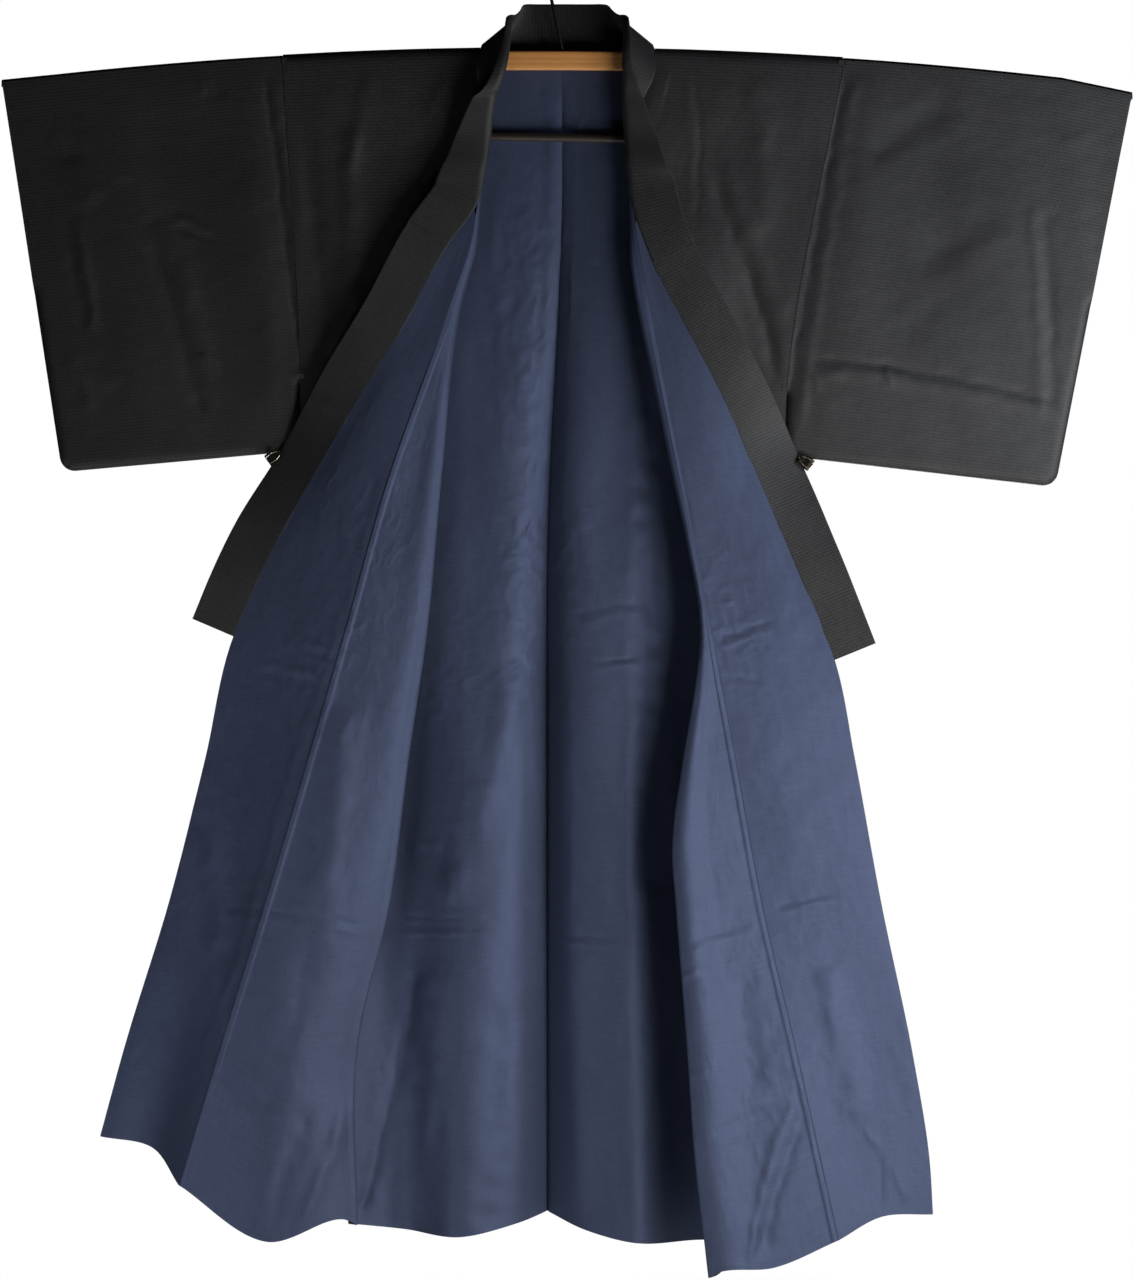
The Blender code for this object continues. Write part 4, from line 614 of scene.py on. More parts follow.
# each is a path of (across, drop), its half width and its height towards the viewer's side
creases = {
    "back": [
        ([(-84, 167), (-74, 347), (-71, 506)], 4.2, 0.72),
        ([(-50, 734), (-86, 866), (-134, 1034)], 24, 4),
        ([(-185, 965), (-164, 956), (-144, 953)], 3.4, 0.9),
        ([(10, 239), (11, 338)], 2.4, 0.59),
        ([(24, 542), (25, 668)], 2.4, 0.63),
        ([(24, 560), (-14, 638)], 4.2, 0.72),
        ([(7, 689), (12, 680), (58, 671), (102, 665)], 2.2, -0.9),
        ([(16, 691), (60, 680), (102, 676)], 3.8, 0.63),
        ([(5, 689), (5, 722), (34, 737), (102, 731)], 2.2, -0.81),
        ([(36, 744), (102, 739)], 3.8, 0.54),
        ([(12, 746), (14, 890), (11, 1034)], 3.4, 0.68),
        ([(7, 84), (26, 91)], 2.5, 0.54),
        ([(16, 77), (31, 82)], 2.5, 0.45),
        ([(-209, 1043), (-134, 1045), (-50, 1049)], 2.5, -0.81),
        ([(-209, 1052), (-134, 1054), (-60, 1055)], 3.4, -0.45),
        ([(-209, 1063), (-134, 1063), (-58, 1061)], 2.9, 0.72),
        ([(-182, 1097), (-86, 1100)], 3.4, 0.54),
        ([(-14, 1064), (82, 1070)], 3.4, -0.68),
        ([(-12, 1073), (79, 1079)], 3.4, 0.45),
        ([(-176, 1100), (-192, 1202), (-218, 1310), (-246, 1412)], 9, -3.2),
        ([(-146, 1094), (-161, 1214), (-173, 1334), (-182, 1424)], 22, 4),
        ([(-74, 1142), (-84, 1286), (-89, 1424)], 24, -3),
        ([(94, 182), (101, 446), (106, 710), (108, 1022)], 16, -4),
        ([(46, 1094), (43, 1262), (48, 1418)], 18, -2.5),
        ([(-38, 710), (-26, 926), (-25, 1142)], 9, 1.76),
    ],
    "front": [
        ([(-228, 14), (-242, 92), (-260, 170)], 9, 1.92),
        ([(-134, 26), (-164, 86)], 5.1, 0.81),
        ([(-314, 86), (-293, 230), (-278, 398)], 15, -2),
        ([(-252, 86), (-252, 230), (-254, 398)], 14, 2.2),
        ([(154, 14), (166, 110), (162, 218)], 3.1, -1.08),
        ([(146, 14), (156, 110), (154, 206)], 4.2, 0.63),
        ([(178, 152), (214, 248), (250, 350), (258, 410)], 8, -2.4),
        ([(194, 134), (233, 236), (268, 338)], 10, 1.6),
        ([(238, 26), (240, 134), (247, 230)], 16, 2),
    ],
    "flapRight": [
        ([(-314, 710), (-290, 716), (-264, 726)], 3.4, 1.17),
        ([(-311, 722), (-288, 728), (-263, 737)], 3.4, -0.72),
        ([(-368, 737), (-326, 744), (-278, 758)], 3.4, 1.08),
        ([(-368, 748), (-326, 755), (-278, 769)], 3.4, -0.72),
        ([(-260, 701), (-228, 689)], 4.2, 0.72),
        ([(-320, 1424), (-296, 1376), (-254, 1262)], 10, 3.2),
        ([(-350, 1424), (-332, 1358), (-302, 1262)], 12, -2.4),
        ([(-212, 506), (-271, 710), (-336, 908), (-384, 1082), (-428, 1202)], 5.1, 0.63),
        ([(-254, 782), (-278, 938), (-293, 1094)], 18, 3),
        ([(-416, 1028), (-362, 1032), (-278, 1044), (-228, 1052)], 3.4, -0.72),
        ([(-420, 1039), (-362, 1043), (-278, 1056), (-230, 1063)], 3.4, 0.63),
        ([(-446, 854), (-416, 974), (-408, 1094)], 16, 2.5),
        ([(-284, 998), (-314, 1142), (-360, 1286)], 16, -2.5),
    ],
    "flapLeft": [
        ([(180, 710), (220, 696), (256, 686)], 3.4, -1.08),
        ([(182, 721), (222, 707), (257, 697)], 3.4, 0.72),
        ([(196, 755), (238, 758)], 3.4, -0.9),
        ([(184, 650), (204, 646)], 2.2, 0.63),
        ([(186, 672), (208, 664)], 2.2, 0.63),
        ([(142, 1073), (190, 1058), (232, 1046)], 3.4, -1.08),
        ([(142, 1084), (190, 1069), (234, 1057)], 3.4, 0.81),
        ([(252, 1028), (292, 1019), (336, 1013)], 3.4, -0.99),
        ([(252, 1038), (292, 1028), (336, 1022)], 3.4, 0.72),
        ([(160, 1307), (238, 1274), (274, 1256)], 4.2, -1.17),
        ([(162, 1319), (240, 1288), (276, 1268)], 4.2, 0.9),
        ([(280, 1256), (257, 1310), (238, 1370), (222, 1457)], 7, 2.56),
        ([(294, 1262), (271, 1322), (252, 1382), (238, 1448)], 7, -2.08),
        ([(358, 1298), (382, 1316)], 4.2, 1.17),
        ([(382, 1322), (378, 1394)], 5.1, -1.17),
        ([(394, 1340), (412, 1382)], 4.2, 1.17),
        ([(130, 1418), (148, 1358)], 5.1, 1.08),
        ([(114, 830), (114, 938)], 2.2, 0.72),
        ([(127, 1116), (166, 1106)], 3.8, 1.17),
        ([(142, 1231), (175, 1222)], 3.8, 1.17),
        ([(154, 1308), (185, 1298)], 3.8, 1.08),
        ([(310, 1094), (341, 1214), (355, 1298)], 16, 3),
        ([(208, 1094), (223, 1190), (226, 1262)], 15, -2.6),
    ],
    "sleeveRight": [
        ([(-605, 102), (-542, 158), (-476, 218)], 14, -1.8),
        ([(-590, 92), (-528, 146), (-463, 202)], 15, 1),
        ([(-476, 218), (-451, 290), (-434, 362), (-410, 434)], 14, 1.7),
        ([(-494, 230), (-468, 302), (-451, 374), (-430, 446)], 9.2, -1.4),
        ([(-470, 202), (-444, 209), (-416, 226)], 4.6, 1.3),
        ([(-468, 214), (-442, 221), (-419, 235)], 4.1, -1),
        ([(-434, 365), (-410, 391)], 4.6, 1.3),
        ([(-596, 134), (-554, 188)], 18, 1.4),
        ([(-583, 200), (-569, 278), (-560, 350)], 6.9, 1.5),
        ([(-598, 200), (-583, 278), (-574, 356)], 8, -1),
        ([(-439, 22), (-430, 58)], 5.8, 1.2),
        ([(-420, 22), (-408, 67)], 5.8, -1.1),
        ([(-596, 365), (-576, 398), (-560, 446)], 6.9, 1.4),
        ([(-542, 398), (-521, 428), (-509, 470)], 14, -0.9),
        ([(-348, 17), (-326, 182), (-310, 326), (-304, 389)], 6.3, 0.9),
        ([(-358, 22), (-337, 182), (-320, 326), (-313, 398)], 3.4, -1.2),
        ([(-379, 146), (-360, 302), (-353, 446)], 22, 0.9),
    ],
    "sleeveLeft": [
        ([(341, 17), (316, 158), (289, 314), (266, 452)], 3.4, -1.2),
        ([(354, 22), (330, 163), (304, 317), (282, 470)], 8, 1.6),
        ([(292, 374), (340, 376), (394, 382), (496, 401), (600, 426)], 5.3, -1.7),
        ([(293, 388), (341, 389), (394, 396), (496, 415), (598, 440)], 9.2, 1.7),
        ([(300, 392), (310, 413)], 4.6, 1.2),
        ([(389, 382), (397, 406)], 4.6, 1.2),
        ([(564, 182), (571, 314), (574, 446)], 6.9, 1.3),
        ([(578, 188), (586, 314), (588, 446)], 6.9, -1.1),
        ([(532, 188), (475, 230), (418, 266)], 20, -1.4),
        ([(544, 209), (487, 252), (430, 290)], 20, 1.1),
        ([(454, 302), (430, 329), (406, 353)], 14, -1.1),
        ([(478, 56), (418, 96), (358, 134)], 20, -1.3),
        ([(496, 77), (430, 120), (372, 158)], 21, 1),
        ([(616, 86), (622, 206), (619, 338)], 21, 0.8),
    ],
    "collarLeft": [
        ([(220, 356), (250, 332), (274, 317)], 5, 1.6),
        ([(216, 342), (242, 322), (262, 308)], 4, -1.2),
        ([(250, 434), (280, 415), (310, 398)], 5, 1.6),
        ([(252, 420), (278, 403), (300, 389)], 4, -1),
    ],
    "collarRight": [
        ([(-314, 416), (-278, 432), (-252, 452)], 5, 1.2),
    ],
}


def crumple(across, drop, seed, size, height, stretch=1.0, waves=14):
    # soft unevenness: a sum of waves with random directions, each about size long
    rng = np.random.default_rng(seed)
    total = np.zeros(across.shape)
    for _ in range(waves):
        angle = rng.uniform(0.0, 2.0 * math.pi)
        number = 2.0 * math.pi / (size * rng.uniform(0.6, 1.8))
        phase = rng.uniform(0.0, 2.0 * math.pi)
        total += np.sin(number * (math.cos(angle) * across
                                  + math.sin(angle) * drop / stretch) + phase)
    return height * total / math.sqrt(waves)


# where the lining is crinkled most: middle (across, drop), reach and extra height
crinkles = {
    "back": [((-50, 290), (38, 120), 1.5), ((-40, 600), (26, 130), 1.5),
             ((22, 90), (26, 30), 0.7), ((30, 300), (30, 120), 0.6),
             ((20, 620), (20, 140), 0.9), ((-120, 760), (60, 120), 0.5)],
    "flapRight": [((-250, 560), (60, 160), 0.4), ((-300, 760), (50, 60), 0.6)],
    "flapLeft": [((190, 700), (50, 90), 0.5), ((260, 1240), (70, 120), 0.6)],
}

# unevenness as (size, height) or (size, height, stretch), and how a crease fades
foldSizes = {
    "wander": (34.0, 1.3),         # of a crease's path
    "vary": (46.0, 0.20),          # of its height, about even
    "even": 0.85,
    "fade": (0.22, 28.0),          # a share of its length, with a longest fade
    "soft": (95.0, 0.6, 1.9),
    "fine": (26.0, 0.10, 1.5),
    "crinkle": 0.22,               # height everywhere, before the table above adds to it
    "crinkleSizes": (42.0, 21.0),
    "warp": 0.22,                  # share of its size by which a ridge wanders
    "sharp": 2.4,
}


def nearestOn(path, across, drop):
    # distance from each point to a path of straight parts, and how far along it that is
    nearest = np.full(across.shape, 1e6)
    along = np.zeros(across.shape)
    passed = 0.0
    for first, last in zip(path[:-1], path[1:]):
        way = last - first
        length = np.linalg.norm(way)
        share = ((across - first[0]) * way[0] + (drop - first[1]) * way[1]) / (way @ way)
        share = np.clip(share, 0.0, 1.0)
        gap = np.hypot(across - first[0] - share * way[0], drop - first[1] - share * way[1])
        closer = gap < nearest
        nearest = np.where(closer, gap, nearest)
        along = np.where(closer, passed + share * length, along)
        passed += length
    return nearest, along, passed


def pressed(across, drop, lines):
    # height * bell(distance to the path / half width) * fade, added up over the paths; the
    # fade falls to 0 at a path's ends and comes and goes along it
    raised = np.zeros(across.shape)
    aside = across + crumple(across, drop, 71, *foldSizes["wander"])
    below = drop + crumple(across, drop, 72, *foldSizes["wander"])
    uneven = foldSizes["even"] + crumple(across, drop, 73, *foldSizes["vary"])
    share, longest = foldSizes["fade"]
    for path, half, height in lines:
        nearest, along, length = nearestOn(np.array(path, float), aside, below)
        reach = min(share * length, longest)
        fade = smoothStep(0.0, reach, along) * smoothStep(0.0, reach, length - along)
        raised += height * uneven * fade * bell(nearest, half)
    return raised


def crinkled(across, drop, seed, size):
    # sharp wandering ridges: exp(-sharp * |unevenness|), on cloth that is itself warped
    warp = foldSizes["warp"] * size
    aside = across + crumple(across, drop, seed, size, warp)
    below = drop + crumple(across, drop, seed + 1, size, warp)
    uneven = crumple(aside, below, seed + 2, size, 1.0, 1.4)
    return np.exp(-foldSizes["sharp"] * np.abs(uneven))


def ripple(grid, side, name, seed):
    # moves the sheet towards the viewer by its creases, some crinkles and a little
    # unevenness
    across, drop = grid[..., 0] * signOf[side], grid[..., 2]
    moved = crumple(across, drop, seed, *foldSizes["soft"])
    moved = moved + crumple(across, drop, seed + 1, *foldSizes["fine"])
    strength = np.full(across.shape, foldSizes["crinkle"])
    for place, reach, extra in crinkles.get(name, ()):
        near = bell(across - place[0], reach[0]) * bell(drop - place[1], reach[1])
        strength = strength + extra * near
    large, small = foldSizes["crinkleSizes"]
    moved = moved + strength * (crinkled(across, drop, seed + 2, large)
                                + 0.5 * crinkled(across, drop, seed + 5, small))
    return moved + pressed(across, drop, creases[name])


# meshes


def normalsOf(grid):
    # unit normals: the cross product of the grid's two gradients
    normal = np.cross(np.gradient(grid, axis=0), np.gradient(grid, axis=1))
    return normal / np.maximum(np.linalg.norm(normal, axis=-1), 1e-12)[..., None]


def agreeing(normals, towards):
    # the normals, turned over if the first row's mean points away
    return -normals if np.dot(normals[0].mean(axis=0), towards) < 0 else normals


def flatUv(grid):
    # cloth coordinates in metres: mean distance across and down from the grid's corner
    across = np.linalg.norm(np.diff(grid, axis=1), axis=-1).mean(axis=0)
    down = np.linalg.norm(np.diff(grid, axis=0), axis=-1).mean(axis=1)
    u = np.concatenate([[0.0], np.cumsum(across)]) * mm
    v = np.concatenate([[0.0], np.cumsum(down)]) * mm
    return np.stack(np.broadcast_arrays(u[None, :], v[:, None]), axis=-1)


def plainUv(grid):
    # the same for a grid that is already in metres
    return flatUv(np.asarray(grid) / mm)


def rims(grid, normals, uv, depth):
    # narrow strips that turn the four open edges in by depth: both rows, then both columns
    made = []
    inward = grid - normals * depth
    for pick, axis in ((np.s_[:1], 0), (np.s_[-1:], 0), (np.s_[:, :1], 1), (np.s_[:, -1:], 1)):
        made.append((np.concatenate([grid[pick], inward[pick]], axis=axis),
                     np.concatenate([uv[pick], uv[pick]], axis=axis)))
    return made


def endCaps(ring, count, between=0):
    # closes a doubled section at both ends: its first count points to the ones facing them
    pairs = [np.stack([row[:count], row[count + between:2 * count + between][::-1]])
             for row in (ring[0], ring[-1])]
    return [(pair, plainUv(pair)) for pair in pairs]


def meshOf(name, patches):
    # patches of (grid in metres, uv) become one mesh of quads
    points, uvs, cells = [], [], []
    start = 0
    for grid, uv in patches:
        rows, columns = grid.shape[:2]
        points.append(grid.reshape(-1, 3))
        uvs.append(uv.reshape(-1, 2))
        corner = np.arange(rows - 1)[:, None] * columns + np.arange(columns - 1) + start
        cells.append(np.stack([corner, corner + 1, corner + columns + 1, corner + columns],
                              axis=-1).reshape(-1, 4))
        start += rows * columns
    points, uvs, cells = np.concatenate(points), np.concatenate(uvs), np.concatenate(cells)
    mesh = bpy.data.meshes.new(name)
    mesh.vertices.add(len(points))
    mesh.vertices.foreach_set("co", points.astype(np.float32).ravel())
    mesh.loops.add(cells.size)
    mesh.loops.foreach_set("vertex_index", cells.astype(np.int32).ravel())
    mesh.polygons.add(len(cells))
    mesh.polygons.foreach_set("loop_start", np.arange(0, cells.size, 4, dtype=np.int32))
    layer = mesh.uv_layers.new(name="cloth")
    layer.data.foreach_set("uv", uvs[cells.ravel()].astype(np.float32).ravel())
    mesh.update(calc_edges=True)
    mesh.validate()
    return mesh


def weldFaces(mesh, target, way, weld):
    # merges the points where patches meet and turns the faces alike: those round the point
    # nearest to target look along way
    work = bmesh.new()
    work.from_mesh(mesh)
    bmesh.ops.remove_doubles(work, verts=work.verts, dist=weld)
    bmesh.ops.dissolve_degenerate(work, edges=work.edges, dist=1e-7)
    bmesh.ops.recalc_face_normals(work, faces=work.faces)
    work.verts.ensure_lookup_table()
    nearest = min(work.verts, key=lambda vert: (vert.co - target).length_squared)
    total = sum((face.normal for face in nearest.link_faces), Vector((0.0, 0.0, 0.0)))
    if total.dot(Vector(way)) < 0:
        bmesh.ops.reverse_faces(work, faces=work.faces)
    work.to_mesh(mesh)
    work.free()


def makePiece(name, patches, outward, finish, nodes=(), weld=0.00002):
    # one piece from its patches, in place of the named nodes; outward is (row, column of
    # the first patch, the way that its faces look there)
    mesh = meshOf(name, patches)
    row, column, way = outward
    weldFaces(mesh, Vector(patches[0][0][row, column]), way, weld)
    mesh.shade_smooth()
    mesh.set_sharp_from_angle(angle=math.radians(50))
    look, slot = looks[finish]
    mesh.materials.append(look)
    thing = bpy.data.objects.new(name, mesh)
    bpy.context.scene.collection.objects.link(thing)
    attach(thing, "root")
    if nodes:
        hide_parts(*nodes)
    return thing


def hung(thing):
    # prints the total area of a cloth piece's faces
    areas = np.empty(len(thing.data.polygons))
    thing.data.polygons.foreach_get("area", areas)
    print("%s: %.3f square metres" % (thing.name, areas.sum()))


# looks

class Socket:
    # one output of a node; arithmetic on it adds Math nodes
    def __init__(self, nodes, out):
        self.nodes, self.out = nodes, out

    def math(self, operation, *values):
        return self.nodes.node("ShaderNodeMath", values, operation=operation)

    def __add__(self, other):
        return self.math("ADD", self, other)

    def __sub__(self, other):
        return self.math("SUBTRACT", self, other)

    def __rsub__(self, other):
        return self.math("SUBTRACT", other, self)

    def __mul__(self, other):
        return self.math("MULTIPLY", self, other)

    __radd__ = __add__
    __rmul__ = __mul__

    def sine(self):
        return self.math("SINE", self)

    def held(self):
        # kept between 0 and 1
        return self.math("MINIMUM", self.math("MAXIMUM", self, 0.0), 1.0)


class Nodes:
    # a node tree: node() adds a node of a type, with its settings first and then its inputs
    def __init__(self, tree):
        self.tree = tree

    def node(self, kind, values=(), output=0, **settings):
        made = self.tree.nodes.new(kind)
        for key, value in settings.items():
            setattr(made, key, value)
        pairs = values.items() if isinstance(values, dict) else enumerate(values)
        for key, value in pairs:
            if isinstance(value, Socket):
                self.tree.links.new(value.out, made.inputs[key])
            else:
                made.inputs[key].default_value = value
        return Socket(self, made.outputs[output]) if made.outputs else None


class Look(Nodes):
    # one material, with its shader's fixed inputs; feed() links what varies and returns it
    def __init__(self, name, **fixed):
        self.material = bpy.data.materials.new(name)
        self.material.use_nodes = True
        super().__init__(self.material.node_tree)
        self.shader = self.tree.nodes["Principled BSDF"]
        for socket, value in fixed.items():
            self.shader.inputs[socket.replace("_", " ")].default_value = value

    def cloth(self):
        return self.node("ShaderNodeUVMap", uv_map="cloth")

    def place(self):
        return self.node("ShaderNodeTexCoord", output="Object")

    def parts(self, vector):
        outputs = self.node("ShaderNodeSeparateXYZ", [vector]).out.node.outputs
        return [Socket(self, output) for output in outputs]

    def noise(self, vector, scale, detail):
        # a scale of three numbers stretches the pattern first
        if not isinstance(scale, float):
            vector = self.node("ShaderNodeMapping", {"Vector": vector, "Scale": scale})
            scale = 1.0
        return self.node("ShaderNodeTexNoise", {"Vector": vector, "Scale": scale,
                                                "Detail": detail, "Roughness": 0.55})

    def noises(self, vector, table):
        # a noise for each name in the table, with its scale and detail
        return [self.noise(vector, *row) for row in table.values()]

    def mix(self, share, first, second):
        return self.node("ShaderNodeMix", {0: share, 6: (*first, 1.0), 7: (*second, 1.0)},
                         output=2, data_type="RGBA", blend_type="MIX")

    def bump(self, height, strength, distance, **below):
        return self.node("ShaderNodeBump", {"Height": height, "Strength": strength,
                                            "Distance": distance, **below})

    def feed(self, **links):
        for socket, value in links.items():
            self.tree.links.new(value.out, self.shader.inputs[socket.replace("_", " ")])
        return self.material


outerLook = {
    "colours": ((0.0038, 0.0038, 0.0046), (0.0222, 0.0226, 0.0258)),
    "sheen": (0.85, 0.86, 0.95, 1.0),
    "rib": 0.0038,             # metres from rib to rib
    "knot": 0.0044,            # and from knot to knot along a rib
    "ribDepth": 0.00022,
    "threadDepth": 0.00012,
    "roughness": 0.66,
    # scale to a metre and detail
    "noises": {"wobble": ((18.0, 60.0, 1.0), 2.0), "thread": ((1400.0, 500.0, 1.0), 2.0),
               "fuzz": (900.0, 3.0), "specks": (220.0, 2.0), "cloud": (6.0, 4.0)},
    # what makes the cloth lighter, less a level
    "fading": {"cloud": 0.5, "rib": 0.95, "fuzz": 0.35, "level": 1.06},
}


def outerCloth():
    # black cloth of staggered knots, rib * knot, with specks and a little fading
    look = Look("outerCloth", Sheen_Weight=0.07, Sheen_Roughness=0.45,
                Sheen_Tint=outerLook["sheen"], Specular_IOR_Level=0.46)
    cloth = look.cloth()
    u, v, _ = look.parts(cloth)
    wobble, thread, fuzz, specks, cloud = look.noises(cloth, outerLook["noises"])
    ribs, knots = ((way * (2.0 * math.pi / outerLook[name]) + wobble * 1.6).sine()
                   for way, name in ((v, "rib"), (u, "knot")))
    rib = ribs * knots * 0.30 + ribs * 0.20 + 0.5
    fading = outerLook["fading"]
    share = (cloud * fading["cloud"] + rib * fading["rib"] + specks + fuzz * fading["fuzz"]
             - fading["level"]).held()
    ribBump = look.bump(rib, 0.8, outerLook["ribDepth"])
    return look.feed(Base_Color=look.mix(share, *outerLook["colours"]),
                     Roughness=outerLook["roughness"] + 0.12 * (fuzz - 0.5) - 0.05 * rib,
                     Normal=look.bump(thread, 0.5, outerLook["threadDepth"], Normal=ribBump))


liningLook = {
    "colours": ((0.026, 0.033, 0.060), (0.050, 0.060, 0.104)),
    "sheen": (0.60, 0.72, 1.0, 1.0),
    "shine": (0.45, 0.58, 1.0, 1.0),
    "thread": 0.0011,          # metres from thread to thread, both ways
    "threadDepth": 0.00006,
    "softDepth": 0.0012,
    "roughness": 0.50,
    "noises": {"bars": ((2.0, 160.0, 1.0), 3.0), "cloud": ((7.0, 3.0, 1.0), 4.0),
               "grain": (700.0, 3.0), "slubs": ((55.0, 750.0, 1.0), 2.0),
               "threads": ((650.0, 40.0, 1.0), 2.0), "waves": ((30.0, 12.0, 1.0), 4.0)},
    "fading": {"cloud": 0.8, "bars": 0.3, "slubs": 1.1, "threads": 0.7, "grain": 0.5,
               "level": 1.22},
}


def liningCloth():
    # smooth dark blue lining: a fine plain weave, faint bars and patches of wear
    look = Look("liningCloth", Sheen_Weight=0.06, Sheen_Roughness=0.35,
                Sheen_Tint=liningLook["sheen"], Specular_IOR_Level=0.45,
                Specular_Tint=liningLook["shine"])
    cloth = look.cloth()
    u, v, _ = look.parts(cloth)
    warp, weft = ((way * (2.0 * math.pi / liningLook["thread"])).sine() for way in (u, v))
    bars, cloud, grain, slubs, threads, waves = look.noises(cloth, liningLook["noises"])
    fading = liningLook["fading"]
    woven = slubs * fading["slubs"] + threads * fading["threads"] + grain * fading["grain"]
    share = (cloud * fading["cloud"] + bars * fading["bars"] + woven
             - fading["level"]).held()
    weave = look.bump(warp * weft, 0.35, liningLook["threadDepth"])
    rough = liningLook["roughness"] + 0.16 * (grain - 0.5) + 0.10 * (cloud - 0.5)
    return look.feed(Base_Color=look.mix(share, *liningLook["colours"]), Roughness=rough,
                     Normal=look.bump(waves, 0.35, liningLook["softDepth"], Normal=weave))


barLook = {"colours": ((0.56, 0.235, 0.065), (0.74, 0.36, 0.115)), "grain": 900.0}


def lightWood():
    # varnished wood: long grain lines along the bar, warm and a little uneven
    look = Look("lightWood", Coat_Weight=0.25, Coat_Roughness=0.25)
    place = look.place()
    bend = look.noise(place, (3.0, 60.0, 90.0), 3.0)
    x, _, z = look.parts(place)
    grain = (z * barLook["grain"] + bend * 9.0 + x * 6.0).sine() * 0.5 + 0.5
    fleck = look.noise(place, (40.0, 900.0, 900.0), 2.0)
    share = (grain * 0.45 + bend * 0.5 + fleck * 0.25 - 0.25).held()
    return look.feed(Base_Color=look.mix(share, *barLook["colours"]),
                     Roughness=0.36 + 0.18 * fleck,
                     Normal=look.bump(grain + fleck, 0.25, 0.0002))


clipLook = {"colours": ((0.022, 0.018, 0.014), (0.085, 0.068, 0.050)), "roughness": 0.34}


def darkMetal():
    # browned steel, worn in patches
    look = Look("darkMetal", Metallic=1.0)
    place = look.place()
    worn = look.noise(place, 260.0, 4.0)
    spots = look.noise(place, 900.0, 2.0)
    return look.feed(Base_Color=look.mix((worn * 1.6 - 0.5).held(), *clipLook["colours"]),
                     Roughness=clipLook["roughness"] + 0.22 * spots,
                     Normal=look.bump(spots, 0.2, 0.0001))


# finishes with one grain: its scale and detail, the colours that it goes between, roughness
# and how much that changes, and the bump's strength and depth
grainLooks = {
    "darkWood": ((6.0, 260.0, 260.0), 4.0, (0.012, 0.009, 0.007), (0.045, 0.032, 0.022),
                 0.32, 0.2, (0.3, 0.0003)),
    "brightWire": ((900.0, 900.0, 120.0), 3.0, (0.52, 0.51, 0.49), (0.74, 0.73, 0.70),
                   0.20, 0.18, (0.15, 0.00008)),
    "paleFloor": (14.0, 4.0, (0.80, 0.80, 0.79), (0.84, 0.84, 0.83), 0.75, 0.1, None),
}


def grained(name, **fixed):
    # colour, roughness and bump all follow one noise
    scale, detail, dark, light, rough, change, relief = grainLooks[name]
    look = Look(name, **fixed)
    grain = look.noise(look.place(), scale, detail)
    if relief:
        look.feed(Normal=look.bump(grain, *relief))
    return look.feed(Base_Color=look.mix(grain, dark, light), Roughness=rough + change * grain)


# each finish, and the name of its slot
looks = {
    "outer": (outerCloth(), "outer_cloth"),
    "lining": (liningCloth(), "lining_cloth"),
    "wood": (lightWood(), "light_wood"),
    "rod": (grained("darkWood", Coat_Weight=0.20, Coat_Roughness=0.30), "dark_wood"),
    "dark": (darkMetal(), "dark_metal"),
    "wire": (grained("brightWire", Metallic=1.0), "steel"),
    "floor": (grained("paleFloor"), None),
}
print("looks: done")


# hanger: bar, rod, links and hook

def tube(path, radius, sides, hint=(0.0, 1.0, 0.0)):
    # circles along a path: point + radius * (cos * side + sin * up); radius may change
    path = np.asarray(path, float)
    ways = np.gradient(path, axis=0)
    ways /= np.linalg.norm(ways, axis=1)[:, None]
    side = np.cross(ways, np.array(hint))
    side /= np.linalg.norm(side, axis=1)[:, None]
    up = np.cross(side, ways)
    angle = np.linspace(0.0, 2.0 * math.pi, sides + 1)[None, :, None]
    return path[:, None] + radius[:, None, None] * (
        np.cos(angle) * side[:, None] + np.sin(angle) * up[:, None])


def roundedEnds(path, radius, steps=5):
    # the path with a half-ball of rings at both ends, and the radii that go with it
    path = np.asarray(path, float)
    turn = np.linspace(0.0, math.pi / 2, steps + 1)
    first, last = path[1] - path[0], path[-1] - path[-2]
    first, last = first / np.linalg.norm(first), last / np.linalg.norm(last)
    inner, clear = path[1:-1], radius * 1.02
    keep = ((inner - path[0]) @ first > clear) & ((path[-1] - inner) @ last > clear)
    head = path[0] + first * radius * (1.0 - np.cos(turn))[:, None]
    tail = path[-1] - last * radius * (1.0 - np.cos(turn[::-1]))[:, None]
    radii = np.concatenate([np.sin(turn), np.ones(int(keep.sum())), np.sin(turn[::-1])])
    return np.concatenate([head, inner[keep], tail]), np.maximum(radii * radius, 0.004)


def smoothPath(points, count):
    # count points on the cubic through the given ones, evenly spaced by its chords
    points = np.asarray(points, float)
    chords = np.linalg.norm(np.diff(points, axis=0), axis=1)
    knots = np.concatenate([[0.0], np.cumsum(chords)])
    at = np.interp(np.linspace(0.0, knots[-1], count), knots, np.arange(len(points)))
    return hermite(knots, points, at)


def sectionRing(width, height, radius, steps=5):
    # a rectangle with rounded corners in the plane of fore and up, closed on itself
    turn = np.linspace(0.0, math.pi / 2, steps + 1)
    corners = []
    for quarter, (x, y) in enumerate([(1, 1), (-1, 1), (-1, -1), (1, -1)]):
        angle = turn + quarter * math.pi / 2
        corners.append(np.stack([x * (width / 2 - radius) + radius * np.cos(angle),
                                 y * (height / 2 - radius) + radius * np.sin(angle)], axis=-1))
    ring = np.concatenate(corners)
    return np.concatenate([ring, ring[:1]])


def tubePiece(name, grid, finish, node):
    # a closed section along a path, in metres, its faces pointing away from the middle
    row = len(grid) // 2
    way = grid[row, 0] - grid[row].mean(axis=0)
    return makePiece(name, [(grid, plainUv(grid))], (row, 0, way), finish, [node],
                     weld=0.00001)


